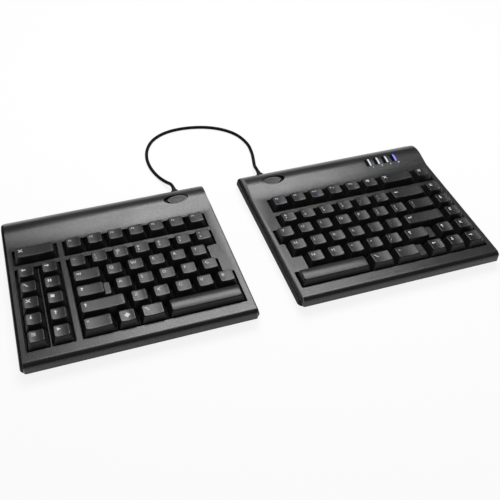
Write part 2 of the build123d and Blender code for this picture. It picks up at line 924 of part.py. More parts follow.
def bridge_cable():
    """The free cable as straight runs joined by tangent arcs."""
    route = [Vector(*point) for point in cable_route()]
    radii = []
    for before, here, after in zip(route, route[1:], route[2:]):
        turn = (here - before).get_angle(after - here)
        shorter = min((here - before).length, (after - here).length)
        radii.append(cable_bend_share * shorter / math.tan(math.radians(turn / 2)))
    path = FilletPolyline(*route, radius=radii)
    start = Plane(origin=path @ 0, z_dir=path % 0)
    tube = sweep(start * Circle(cable_radius), path=path)
    section = math.pi * cable_radius**2
    print("cable radii", [round(radius, 1) for radius in radii])
    print("cable length", round(path.length, 1), "volume over section times length",
          round(tube.volume / (section * path.length), 4))
    return tube


def save(node, shape):
    """Write one node, joining its separate solids in a compound where there are several."""
    if isinstance(shape, list):
        shape = Compound(children=shape)
    export_step(shape, f"parts/{node}.step")


def main():
    """Build every node of both halves and the cable between them."""
    os.makedirs("parts", exist_ok=True)
    for half in (left_half, right_half):
        side = half.side
        save(f"{side}_top_cover", top_cover(half))
        save(f"{side}_base", base(half))
        save(f"{side}_screws", screws(half))
        save(f"{side}_feet", feet(half))
        save(f"{side}_backplate", half.case() * stack_plate(half, backplate_thickness, floor_z))
        save(f"{side}_membrane", half.case() * stack_plate(half, membrane_thickness, membrane_z))
        save(f"{side}_dome_sheet", dome_sheet(half))
        save(f"{side}_guide_plate", guide_plate(half))
        save(f"{side}_circuit_board", circuit_board(half))
        save(f"{side}_release_catch", release_catch(half))
        save(f"{side}_cable_boot", cable_boot(half))
        for node, group in half.keys.items():
            save(node, [half.grid() * keycap(slot) for slot in group])
    save("indicator_window", indicator_window())
    save("indicator_lights", indicator_lights())
    save("battery", battery())
    save("charge_socket", charge_socket())
    save("power_switch", power_switch())
    save("bridge_cable", bridge_cable())


main()
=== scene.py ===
"""Looks of the ergonomic split keyboard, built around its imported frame.

The frame gives every place and size. This file adds softened mouldings, keycaps with their
printed signs, the bridge cable, the status window and the finishes, and sets the stage.
Lengths are in metres, +X to the right half, +Y to the rear, +Z up from the desk.
"""

import json
import logging
import math
from collections.abc import Iterable
from dataclasses import dataclass, field
from enum import Enum

import bmesh
import bpy
from mathutils import Matrix, Vector
from mathutils.bvhtree import BVHTree

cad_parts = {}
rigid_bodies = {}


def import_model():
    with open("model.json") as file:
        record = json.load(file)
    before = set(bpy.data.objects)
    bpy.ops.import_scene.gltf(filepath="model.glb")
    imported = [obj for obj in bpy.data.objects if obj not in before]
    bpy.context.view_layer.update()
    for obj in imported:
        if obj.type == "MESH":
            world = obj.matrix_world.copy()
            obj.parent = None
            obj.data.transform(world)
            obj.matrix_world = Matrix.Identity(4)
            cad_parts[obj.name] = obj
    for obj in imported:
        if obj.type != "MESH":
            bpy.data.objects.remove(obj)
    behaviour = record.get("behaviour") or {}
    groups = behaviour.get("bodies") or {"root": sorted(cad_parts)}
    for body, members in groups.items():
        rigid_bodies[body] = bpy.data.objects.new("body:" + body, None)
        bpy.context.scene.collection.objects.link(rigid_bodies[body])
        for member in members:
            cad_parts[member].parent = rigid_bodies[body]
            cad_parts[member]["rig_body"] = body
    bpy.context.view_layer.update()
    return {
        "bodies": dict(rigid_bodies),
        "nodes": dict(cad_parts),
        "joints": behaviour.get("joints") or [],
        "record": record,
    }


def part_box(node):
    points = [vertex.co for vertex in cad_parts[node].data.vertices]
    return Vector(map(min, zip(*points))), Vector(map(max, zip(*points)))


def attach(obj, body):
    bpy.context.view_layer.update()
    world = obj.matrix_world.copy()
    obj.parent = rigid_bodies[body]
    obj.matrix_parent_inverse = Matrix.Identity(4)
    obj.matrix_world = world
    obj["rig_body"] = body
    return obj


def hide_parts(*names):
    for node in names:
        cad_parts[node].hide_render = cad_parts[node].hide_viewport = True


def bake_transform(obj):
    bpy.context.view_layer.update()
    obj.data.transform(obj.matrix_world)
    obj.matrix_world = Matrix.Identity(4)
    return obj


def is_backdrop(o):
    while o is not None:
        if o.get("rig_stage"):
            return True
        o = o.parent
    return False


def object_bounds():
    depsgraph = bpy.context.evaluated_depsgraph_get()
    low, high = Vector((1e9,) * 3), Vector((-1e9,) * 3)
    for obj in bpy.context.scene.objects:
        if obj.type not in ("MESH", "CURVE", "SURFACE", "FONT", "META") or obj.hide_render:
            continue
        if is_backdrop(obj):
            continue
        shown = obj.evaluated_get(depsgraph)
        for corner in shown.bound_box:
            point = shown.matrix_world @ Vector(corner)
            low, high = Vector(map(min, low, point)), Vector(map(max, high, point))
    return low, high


LOG = logging.getLogger("split_keyboard")
MM = 0.001
PITCH = 19.05 * MM
MERGE = 0.002 * MM

Colour = tuple[float, float, float, float]
Points = list[tuple[float, float, float]]
Socket = bpy.types.NodeSocket
Tree = bpy.types.NodeTree
Mesh = bpy.types.Mesh
Piece = bpy.types.Object
Work = bmesh.types.BMesh


def linear(code: str, share: float = 1.0) -> Colour:
    """Turn an sRGB hex value into linear light.

    Args:
        code: Six hex digits after a #.
        share: How much of the colour's light is kept.

    Returns:
        Red, green and blue with an alpha of 1.
    """
    parts = [int(code[place:place + 2], 16) / 255 for place in (1, 3, 5)]
    lit = [c / 12.92 if c <= 0.04045 else ((c + 0.055) / 1.055) ** 2.4 for c in parts]
    return (share * lit[0], share * lit[1], share * lit[2], 1.0)


WHITE = linear("#ffffff")


def add(
    tree: Tree,
    kind: str,
    settings: dict | None = None,
    values: dict | None = None,
    links: dict | None = None,
) -> bpy.types.Node:
    """Add a node with its settings, its unlinked inputs and its links.

    Args:
        tree: The node tree that gets the node.
        kind: The node's type name.
        settings: Properties of the node itself.
        values: Input names and the values they hold.
        links: Input names and the outputs that feed them.

    Returns:
        The new node.
    """
    node = tree.nodes.new(kind)
    for name, value in (settings or {}).items():
        setattr(node, name, value)
    for name, value in (values or {}).items():
        node.inputs[name].default_value = value
    for name, source in (links or {}).items():
        tree.links.new(source, node.inputs[name])
    return node


def new_material(name: str) -> tuple[bpy.types.Material, Tree]:
    """Start an empty node material.

    Args:
        name: Its name.

    Returns:
        The material and its tree.
    """
    material = bpy.data.materials.new(name)
    material.use_nodes = True
    material.node_tree.nodes.clear()
    return material, material.node_tree


@dataclass(frozen=True)
class Surface:
    """What every finish has: a name, a colour and a skin made of nodes."""

    name: str
    colour: str

    def inputs(self, tree: Tree) -> tuple[dict, dict]:
        """The skin's plain values and its linked ones."""
        raise NotImplementedError

    def shades(self, low: float, high: float) -> dict[str, Colour]:
        """The colour at two shares of its light, for a pattern to mix."""
        return {"A": linear(self.colour, low), "B": linear(self.colour, high)}

    def build(self) -> bpy.types.Material:
        """Make the node material.

        Returns:
            The material.
        """
        material, tree = new_material(self.name)
        values, links = self.inputs(tree)
        skin = add(tree, "ShaderNodeBsdfPrincipled", None, values, links)
        add(tree, "ShaderNodeOutputMaterial", links={"Surface": skin.outputs["BSDF"]})
        return material


@dataclass(frozen=True)
class MouldedPlastic(Surface):
    """Injection moulded ABS from a spark-eroded tool.

    The tool's fine craters give the eye a satin sheen without sparkle, and the melt's flow
    leaves a slow drift in gloss over a few centimetres. The craters' own shade dims the
    sheen in specks. The real grain is about 0.15 mm; it is drawn coarser, because it would
    vanish at the size of the picture.
    """

    roughness: float
    grain_mm: float = 0.8
    relief_mm: float = 0.06
    drift_mm: float = 38.0
    drift: float = 0.035
    speckle: float = 0.11
    ior: float = 1.54

    def inputs(self, tree: Tree) -> tuple[dict, dict]:
        """Add the nodes of the finish's patterns.

        Args:
            tree: The material's tree.

        Returns:
            The skin's plain values and its linked ones.
        """
        place = add(tree, "ShaderNodeTexCoord").outputs["Object"]
        grain = add(
            tree, "ShaderNodeTexNoise", values={"Scale": 1 / (self.grain_mm * MM), "Detail": 3.0},
            links={"Vector": place},
        ).outputs["Fac"]
        flow = add(
            tree, "ShaderNodeTexNoise", values={"Scale": 1 / (self.drift_mm * MM), "Detail": 2.0},
            links={"Vector": place},
        ).outputs["Fac"]
        # A noise pattern seldom leaves this range.
        usual = {"From Min": 0.3, "From Max": 0.7}
        gloss = {"To Min": self.roughness - self.drift, "To Max": self.roughness + self.drift}
        specks = {"To Min": 0.5 - self.speckle, "To Max": 0.5 + self.speckle}
        dull = add(tree, "ShaderNodeMapRange", values=usual | gloss, links={"Value": flow})
        sheen = add(tree, "ShaderNodeMapRange", values=usual | specks, links={"Value": grain})
        shade = add(
            tree, "ShaderNodeMix", {"data_type": "RGBA"}, self.shades(0.9, 1.1), {"Factor": grain}
        )
        bump = add(
            tree, "ShaderNodeBump", values={"Strength": 0.5, "Distance": self.relief_mm * MM},
            links={"Height": grain},
        )
        return {"IOR": self.ior}, {
            "Base Color": shade.outputs["Result"], "Roughness": dull.outputs["Result"],
            "Specular IOR Level": sheen.outputs["Result"], "Normal": bump.outputs["Normal"],
        }


@dataclass(frozen=True)
class CastRubber(Surface):
    """Compression moulded rubber: matte and faintly mottled, so that it hardly shines."""

    roughness: float = 0.75
    mottle_mm: float = 1.5
    relief_mm: float = 0.03

    def inputs(self, tree: Tree) -> tuple[dict, dict]:
        """Add the nodes of the finish's patterns.

        Args:
            tree: The material's tree.

        Returns:
            The skin's plain values and its linked ones.
        """
        place = add(tree, "ShaderNodeTexCoord").outputs["Object"]
        mottle = add(
            tree, "ShaderNodeTexNoise",
            values={"Scale": 1 / (self.mottle_mm * MM), "Detail": 4.0}, links={"Vector": place},
        ).outputs["Fac"]
        shade = add(
            tree, "ShaderNodeMix", {"data_type": "RGBA"}, self.shades(0.8, 1.2), {"Factor": mottle}
        )
        bump = add(
            tree, "ShaderNodeBump", values={"Strength": 0.4, "Distance": self.relief_mm * MM},
            links={"Height": mottle},
        )
        values = {"IOR": 1.52, "Roughness": self.roughness, "Specular IOR Level": 0.2}
        return values, {"Base Color": shade.outputs["Result"], "Normal": bump.outputs["Normal"]}


@dataclass(frozen=True)
class SheetMetal(Surface):
    """Rolled or turned steel: fine parallel marks stretch its highlights."""

    roughness: float = 0.35
    mark_mm: float = 0.2
    stretch: float = 0.05
    relief_mm: float = 0.005

    def inputs(self, tree: Tree) -> tuple[dict, dict]:
        """Add the nodes of the finish's patterns.

        Args:
            tree: The material's tree.

        Returns:
            The skin's plain values and its linked ones.
        """
        place = add(tree, "ShaderNodeTexCoord").outputs["Object"]
        drawn = add(
            tree, "ShaderNodeMapping", values={"Scale": (self.stretch, 1.0, 1.0)},
            links={"Vector": place},
        )
        marks = add(
            tree, "ShaderNodeTexNoise", values={"Scale": 1 / (self.mark_mm * MM), "Detail": 2.0},
            links={"Vector": drawn.outputs["Vector"]},
        ).outputs["Fac"]
        gloss = add(
            tree, "ShaderNodeMapRange",
            values={"To Min": self.roughness - 0.1, "To Max": self.roughness + 0.1},
            links={"Value": marks},
        )
        bump = add(
            tree, "ShaderNodeBump", values={"Strength": 0.3, "Distance": self.relief_mm * MM},
            links={"Height": marks},
        )
        return {"Base Color": linear(self.colour), "Metallic": 1.0}, {
            "Roughness": gloss.outputs["Result"], "Normal": bump.outputs["Normal"],
        }


@dataclass(frozen=True)
class HardGloss(Surface):
    """Polished acrylic, film or lacquer: a clear hard gloss over its depth, hazed by use."""

    roughness: float
    haze_mm: float = 9.0

    def inputs(self, tree: Tree) -> tuple[dict, dict]:
        """Add the nodes of the finish's patterns.

        Args:
            tree: The material's tree.

        Returns:
            The skin's plain values and its linked ones.
        """
        place = add(tree, "ShaderNodeTexCoord").outputs["Object"]
        haze = add(
            tree, "ShaderNodeTexNoise", values={"Scale": 1 / (self.haze_mm * MM), "Detail": 2.0},
            links={"Vector": place},
        )
        gloss = add(
            tree, "ShaderNodeMapRange",
            values={"To Min": self.roughness - 0.03, "To Max": self.roughness + 0.05},
            links={"Value": haze.outputs["Fac"]},
        )
        values = {"Base Color": linear(self.colour), "IOR": 1.49}
        return values, {"Roughness": gloss.outputs["Result"]}


@dataclass(frozen=True)
class LightGuide(Surface):
    """Frosted acrylic bar: lit, it glows evenly with the light it carries up to the window's face.
    """

    glow: float
    frost_mm: float = 0.8
    relief_mm: float = 0.02

    def inputs(self, tree: Tree) -> tuple[dict, dict]:
        """Add the nodes of the finish's patterns.

        Args:
            tree: The material's tree.

        Returns:
            The skin's plain values and its linked ones.
        """
        place = add(tree, "ShaderNodeTexCoord").outputs["Object"]
        frost = add(
            tree, "ShaderNodeTexNoise", values={"Scale": 1 / (self.frost_mm * MM), "Detail": 2.0},
            links={"Vector": place},
        )
        bump = add(
            tree, "ShaderNodeBump", values={"Strength": 0.3, "Distance": self.relief_mm * MM},
            links={"Height": frost.outputs["Fac"]},
        )
        colour = linear(self.colour)
        values = {"Base Color": colour, "Roughness": 0.35, "IOR": 1.49}
        values |= {"Emission Color": colour, "Emission Strength": self.glow}
        return values, {"Normal": bump.outputs["Normal"]}


@dataclass(frozen=True)
class InkAndPaintedShade(Surface):
    """Pad printed ink: a thin flat coat, a little thin where the plastic's grain shows; in black,
    painted shade.
    """

    ior: float = 1.5
    grain_mm: float = 0.4

    def inputs(self, tree: Tree) -> tuple[dict, dict]:
        """Add the nodes of the finish's patterns.

        Args:
            tree: The material's tree.

        Returns:
            The skin's plain values and its linked ones.
        """
        place = add(tree, "ShaderNodeTexCoord").outputs["Object"]
        grain = add(
            tree, "ShaderNodeTexNoise", values={"Scale": 1 / (self.grain_mm * MM), "Detail": 2.0},
            links={"Vector": place},
        )
        cover = add(
            tree, "ShaderNodeMix", {"data_type": "RGBA"}, self.shades(0.85, 1.0),
            {"Factor": grain.outputs["Fac"]},
        )
        return {"Roughness": 0.5, "IOR": self.ior}, {"Base Color": cover.outputs["Result"]}


@dataclass(frozen=True)
class CableJacket(Surface):
    """Extruded soft PVC: matte, with faint draw lines that follow the tube's own UV map."""

    roughness: float = 0.6
    lines_around: float = 24.0
    lines_along: float = 40.0
    relief_mm: float = 0.02

    def inputs(self, tree: Tree) -> tuple[dict, dict]:
        """Add the nodes of the finish's patterns.

        Args:
            tree: The material's tree.

        Returns:
            The skin's plain values and its linked ones.
        """
        around = add(tree, "ShaderNodeUVMap", {"uv_map": "Along"}).outputs["UV"]
        stretched = add(
            tree, "ShaderNodeMapping",
            values={"Scale": (self.lines_around, self.lines_along, 1.0)},
            links={"Vector": around},
        )
        lines = add(
            tree, "ShaderNodeTexNoise", values={"Scale": 1.0, "Detail": 3.0},
            links={"Vector": stretched.outputs["Vector"]},
        ).outputs["Fac"]
        gloss = add(
            tree, "ShaderNodeMapRange",
            values={"To Min": self.roughness - 0.06, "To Max": self.roughness + 0.1},
            links={"Value": lines},
        )
        bump = add(
            tree, "ShaderNodeBump", values={"Strength": 0.3, "Distance": self.relief_mm * MM},
            links={"Height": lines},
        )
        values = {"Base Color": linear(self.colour), "IOR": 1.5, "Specular IOR Level": 0.12}
        return values, {
            "Roughness": gloss.outputs["Result"], "Normal": bump.outputs["Normal"],
        }


class Finish(Enum):
    """Every finish on the keyboard."""

    COVER = MouldedPlastic("moulded_abs_cover", "#1b1b1b", 0.31, grain_mm=1.2, relief_mm=0.14)
    BASE = MouldedPlastic("moulded_abs_base", "#0f1010", 0.55, ior=1.25)
    KEY = MouldedPlastic("moulded_abs_keycap", "#191a1a", 0.33, relief_mm=0.08, ior=1.48)
    CATCH = MouldedPlastic("moulded_abs_catch", "#131414", 0.36, ior=1.46)
    GUIDE = MouldedPlastic("moulded_abs_guide", "#0c0c0c", 0.6)
    # Near black: partly the slide's own black, partly painted shade, so the gap round the pad
    # reads dark.
    SLIDE = MouldedPlastic("moulded_acetal_slide", "#040404", 0.7, ior=1.25)
    FOOT = CastRubber("cast_rubber_foot", "#1b1b1b")
    BOOT = CastRubber("cast_rubber_boot", "#090909", 0.6)
    DOME = CastRubber("cast_silicone_dome", "#8d8d8a", 0.5)
    FILM = HardGloss("printed_polyester_film", "#b9bdb3", 0.3)
    SCREW = SheetMetal("blackened_steel_screw", "#5c5c5e")
    PLATE = SheetMetal("zinc_plated_sheet", "#a9a9ab", 0.4)
    BOARD = HardGloss("solder_mask_laminate", "#12401f", 0.3)
    SOCKET = SheetMetal("nickel_plated_shell", "#b4b1aa", 0.25)
    BATTERY = HardGloss("shrink_wrap_film", "#3a3d45", 0.35)
    WINDOW = HardGloss("smoked_acrylic_window", "#17191c", 0.3)
    # The unlit bars' faint glow is painted glow; no lamp lights them.
    BAR = LightGuide("frosted_acrylic_bar", "#c8cad2", 0.1)
    LIT_BAR = LightGuide("lit_acrylic_bar", "#6a70ee", 0.9)
    INK = InkAndPaintedShade("pad_printed_ink", "#d6d8da")
    DIM_INK = InkAndPaintedShade("grey_printed_ink", "#b4b6b8")
    BLUE_INK = InkAndPaintedShade("blue_printed_ink", "#39437c")
    # Painted shade, not ink: matte black sheets beside the window's bars, where their shadows
    # fall.
    BLACK_INK = InkAndPaintedShade("black_printed_ink", "#030303", 1.12)
    CABLE = CableJacket("extruded_pvc_jacket", "#080808")

    def material(self) -> bpy.types.Material:
        """The finish's material, made at its first use."""
        return bpy.data.materials.get(self.value.name) or self.value.build()


class Sign(Enum):
    """Plain signs, each a set of outlines in a square of side 1 with its corner at 0, 0."""

    LEFT = (((0, .5), (.42, .86), (.42, .62), (1, .62), (1, .38), (.42, .38), (.42, .14)),)
    RIGHT = (((1, .5), (.58, .14), (.58, .38), (0, .38), (0, .62), (.58, .62), (.58, .86)),)
    UP = (((.5, 1), (.14, .58), (.38, .58), (.38, 0), (.62, 0), (.62, .58), (.86, .58)),)
    DOWN = (((.5, 0), (.86, .42), (.62, .42), (.62, 1), (.38, 1), (.38, .42), (.14, .42)),)
    TO_BAR = (
        ((.8, .5), (.48, .2), (.48, .42), (0, .42), (0, .58), (.48, .58), (.48, .8)),
        ((.86, .15), (1, .15), (1, .85), (.86, .85)),
    )
    LOCK = (
        ((.5, 1), (.12, .6), (.36, .6), (.36, .3), (.64, .3), (.64, .6), (.88, .6)),
        ((.36, 0), (.64, 0), (.64, .18), (.36, .18)),
    )
    RETURN = (
        ((0, .4), (.36, .72), (.36, .48), (.84, .48), (.84, .95), (1, .95), (1, .32), (.36, .32),
         (.36, .08)),
    )
    CROSS = (
        ((.12, 0), (.5, .38), (.88, 0), (1, .12), (.62, .5), (1, .88), (.88, 1), (.5, .62),
         (.12, 1), (0, .88), (.38, .5), (0, .12)),
    )
    SQUARE = (((.1, .1), (.9, .1), (.9, .9), (.1, .9)),)
    BARS = (
        ((.1, .1), (.9, .1), (.9, .24), (.1, .24)),
        ((.1, .43), (.9, .43), (.9, .57), (.1, .57)),
        ((.1, .76), (.9, .76), (.9, .9), (.1, .9)),
    )
    STEP = (((0, .7), (.3, .7), (.62, .1), (1, .1), (1, .26), (.72, .26), (.4, .86), (0, .86)),)
    DIAMOND = (((.5, .08), (.92, .5), (.5, .92), (.08, .5)),)
    PLAY = (((.15, .05), (.95, .5), (.15, .95)),)
    PAUSE = (
        ((.15, .1), (.4, .1), (.4, .9), (.15, .9)), ((.6, .1), (.85, .1), (.85, .9), (.6, .9)),
    )
    HOME = (
        ((.5, .8), (.1, .3), (.9, .3)), ((.1, .86), (.9, .86), (.9, 1), (.1, 1)),
    )
    END = (
        ((.5, .2), (.9, .7), (.1, .7)), ((.1, 0), (.9, 0), (.9, .14), (.1, .14)),
    )
    PAGE_UP = (((.5, 1), (.15, .55), (.85, .55)), ((.5, .5), (.15, .05), (.85, .05)))
    PAGE_DOWN = (((.5, 0), (.85, .45), (.15, .45)), ((.5, .5), (.85, .95), (.15, .95)))


Print = str | Sign
KeyPrint = tuple[Print, ...]


def single(items: Iterable[Print]) -> tuple[KeyPrint, ...]:
    """One print for each key of a row."""
    return tuple((item,) for item in items)


def to_object(name: str, mesh: Mesh, finish: Finish) -> Piece:
    """Put a finished mesh in the scene under its finish.

    Args:
        name: The piece's name.
        mesh: Its mesh, with its place in its points.
        finish: What it is made of.

    Returns:
        The new object, at the origin.
    """
    mesh.name = name
    mesh.materials.clear()
    mesh.materials.append(finish.material())
    piece = bpy.data.objects.new(name, mesh)
    bpy.context.scene.collection.objects.link(piece)
    return piece


def settle(piece: Piece, body: str, node: str | None = None) -> None:
    """Let a piece ride on a body and, if told so, stand for a node.

    Args:
        piece: The piece.
        body: Its body.
        node: The frame's node that it replaces.
    """
    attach(piece, body)
    if node:
        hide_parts(node)


def baked(
    data: bpy.types.ID, kind: str = "", settings: dict | None = None, inputs: dict | None = None
) -> Mesh:
    """A plain mesh of some data, after one modifier has worked on it.

    Args:
        data: A mesh, a curve or a text.
        kind: The modifier's type; none leaves the data as it is.
        settings: Properties of the modifier.
        inputs: Socket identifiers of a node modifier and what they hold.

    Returns:
        The mesh.
    """
    carrier = bpy.data.objects.new("carrier", data)
    bpy.context.scene.collection.objects.link(carrier)
    if kind:
        modifier = carrier.modifiers.new("change", kind)
        for name, value in (settings or {}).items():
            setattr(modifier, name, value)
        for name, value in (inputs or {}).items():
            modifier[name] = value
    bpy.context.view_layer.update()
    graph = bpy.context.evaluated_depsgraph_get()
    mesh = bpy.data.meshes.new_from_object(carrier.evaluated_get(graph))
    bpy.data.objects.remove(carrier)
    return mesh


def opened(mesh: Mesh, merge: float = 0.0) -> Work:
    """Make an editable copy of a mesh.

    Args:
        mesh: The mesh, which stays.
        merge: Points closer than this are merged.

    Returns:
        The copy.
    """
    work = bmesh.new()
    work.from_mesh(mesh)
    if merge:
        bmesh.ops.remove_doubles(work, verts=work.verts, dist=merge)
    return work


def closed(work: Work, mesh: Mesh | None = None) -> Mesh:
    """Write an editable mesh to a plain one and free it.

    Args:
        work: The editable mesh.
        mesh: The plain mesh; none makes a new one.

    Returns:
        The plain mesh.
    """
    mesh = mesh or bpy.data.meshes.new("mesh")
    work.to_mesh(mesh)
    work.free()
    return mesh


def joined(meshes: list[Mesh]) -> Mesh:
    """Make one mesh of several.

    Args:
        meshes: The meshes, which are used up.

    Returns:
        The new mesh.
    """
    work = bmesh.new()
    for mesh in meshes:
        work.from_mesh(mesh)
        bpy.data.meshes.remove(mesh)
    return closed(work)


def skinned(work: Work, rings: list[Points], ends: bool = True) -> list[list]:
    """Join rings of equally many points with a skin.

    Args:
        work: Gets the skin.
        rings: The points of each ring, all the same way round.
        ends: Whether a face closes each end.

    Returns:
        The vertices of each ring.
    """
    made = [[work.verts.new(point) for point in ring] for ring in rings]
    for low, high in zip(made, made[1:]):
        for n, start in enumerate(low):
            after = (n + 1) % len(low)
            work.faces.new((start, low[after], high[after], high[n]))
    if ends:
        work.faces.new(list(reversed(made[0])))
        work.faces.new(made[-1])
    return made


def mark_edges(work: Work, degrees: float = 50.0) -> None:
    """Smooth every face and keep the edges that turn by more than an angle sharp.

    Args:
        work: The editable mesh.
        degrees: The angle.
    """
    for face in work.faces:
        face.smooth = True
    for edge in work.edges:
        turn = edge.calc_face_angle(math.pi) if len(edge.link_faces) == 2 else math.pi
        edge.smooth = edge.smooth and turn < math.radians(degrees)


@dataclass
class Probe:
    """Finds a frame node's faces with rays."""

    source: Piece
    start: float = 0.1

    def __post_init__(self) -> None:
        """Sort the faces for the rays."""
        work = opened(self.source.data)
        self.tree = BVHTree.FromBMesh(work)
        work.free()

    def top(self, x: float, y: float) -> float:
        """Height of the uppermost face at a place."""
        return self.tree.ray_cast(Vector((x, y, self.start)), Vector((0, 0, -1)))[0].z

    def bottom(self, x: float, y: float) -> float:
        """Height of the lowest face at a place."""
        return self.tree.ray_cast(Vector((x, y, -self.start)), Vector((0, 0, 1)))[0].z


@dataclass
class SoftenedMoulding:
    """A moulded part as the frame gives it, with the small edge radii of its tool."""

    node: str
    name: str
    finish: Finish
    slot: str
    radius: float = 0.35 * MM
    segments: int = 2
    flat_degrees: float = 0.4
    sharp_degrees: float = 32.0
    smooth_degrees: float = 40.0
    crease_degrees: tuple[float, float] = (12.0, 25.0)
    along_x: float = 0.9

    def build(self, frame: dict) -> None:
        """Copy the node, round its edges and let the copy stand for it.
        """
        source = frame["nodes"][self.node]
        body = source["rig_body"]
        work = opened(source.data, MERGE)
        if self.radius:
            bmesh.ops.dissolve_limit(
                work, angle_limit=math.radians(self.flat_degrees), verts=work.verts,
                edges=work.edges,
            )
        self.crease(work)
        mesh = closed(work)
        if self.radius:
            mesh = baked(mesh, "BEVEL", {
                "width": self.radius, "segments": self.segments, "limit_method": "ANGLE",
                "angle_limit": math.radians(self.sharp_degrees), "use_clamp_overlap": True,
            })
        work = opened(mesh)
        mark_edges(work, self.smooth_degrees)
        even = baked(closed(work, mesh), "WEIGHTED_NORMAL", {"keep_sharp": True})
        settle(to_object(self.name, even, self.finish), body, self.node)
        LOG.info("%s: softened", self.node)

    def crease(self, work: Work) -> None:
        """Keep the line along X sharp where a deck turns up into its ridge.

        Args:
            work: The moulding's editable mesh.
        """
        least, most = self.crease_degrees
        for edge in work.edges:
            turn = math.degrees(edge.calc_face_angle_signed(0.0))
            run = edge.verts[1].co - edge.verts[0].co
            if -most < turn < -least and abs(run.x) > self.along_x * run.length:
                edge.smooth = False


@dataclass
class ReleaseCatch:
    """Oval catch: a shallow thumb pad over its slide, dark inside the case, partly by painted
    shade.
    """

    side: str
    pad_length: float = 20.4 * MM
    pad_width: float = 11.2 * MM
    inboard: float = 0.5 * MM
    pad_height: float = 2.3 * MM
    slide_inset: float = 0.2 * MM
    slide_thickness: float = 1.5 * MM
    strip_steps: int = 12
    rim: float = 1.1 * MM
    dish: float = 0.3 * MM
    edge: float = 0.35 * MM
    edge_half: float = 0.12 * MM
    probe_share: float = 0.94
    probe_inset: float = 1.0 * MM
    steps: int = 48

    def build(self, frame: dict) -> None:
        """Split the catch into its pad, with a dish for the thumb, and its slide.
        """
        node = f"{self.side}_release_catch"
        source = frame["nodes"][node]
        body = source["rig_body"]
        low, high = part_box(node)
        middle = (low + high) / 2
        middle.x += self.inboard if self.side == "left" else -self.inboard
        probe = Probe(source)
        work = bmesh.new()
        skinned(work, [self.ring(middle, probe, *place) for place in self.profile()])
        mark_edges(work)
        # The slide's near black is partly painted shade for the gap round the pad.
        pieces = (("pad", closed(work), Finish.CATCH),
                  ("slide", self.strip(low, high, probe), Finish.SLIDE))
        for name, mesh, finish in pieces:
            piece = to_object(f"{self.side}_catch_{name}", mesh, finish)
            settle(piece, body, node)
        LOG.info("%s: pad and slide", node)

    def profile(self) -> tuple[tuple[float, float], ...]:
        """Draw the pad's section.

        Returns:
            Each ring's share of the oval and its height above the node's top.
        """
        inner = 1 - 2 * self.rim / self.pad_width
        return (
            (1.0, -self.pad_height), (1.0, -self.edge), (0.985, -self.edge_half), (0.95, 0.0),
            (inner, 0.0), (0.72, -0.45 * self.dish), (0.5, -0.8 * self.dish),
            (0.25, -self.dish),
        )

    def ring(self, middle: Vector, probe: Probe, share: float, drop: float) -> Points:
        """One ring of the pad, at the height of the node's top near it.

        Args:
            middle: The pad's middle.
            probe: Finds the node's top.
            share: The ring's share of the oval.
            drop: Its height above the node's top.

        Returns:
            The ring's points.
        """
        found = []
        for n in range(self.steps):
            turn = 2 * math.pi * n / self.steps
            x = share * self.pad_length / 2 * math.cos(turn)
            y = share * self.pad_width / 2 * math.sin(turn)
            top = probe.top(middle.x + x * self.probe_share, middle.y + y * self.probe_share)
            found.append((middle.x + x, middle.y + y, top + drop))
        return found

    def strip(self, low: Vector, high: Vector, probe: Probe) -> Mesh:
        """The slide: a strip that follows the underside the frame gives the catch.

        Args:
            low: Least corner of the catch's box.
            high: Greatest corner of the catch's box.
            probe: Finds the node's underside.

        Returns:
            The strip's mesh, closed.
        """
        under, over = [], []
        for number in range(self.strip_steps + 1):
            share = number / self.strip_steps
            y = low.y + self.slide_inset + (high.y - low.y - 2 * self.slide_inset) * share
            bottom = probe.bottom(low.x + self.probe_inset, y)
            under.append((y, bottom))
            over.append((y, bottom + self.slide_thickness))
        outline = over + under[::-1]
        sides = (low.x + self.slide_inset, high.x - self.slide_inset)
        work = bmesh.new()
        skinned(work, [[(x, y, z) for y, z in outline] for x in sides])
        bmesh.ops.recalc_face_normals(work, faces=work.faces)
        return closed(work)


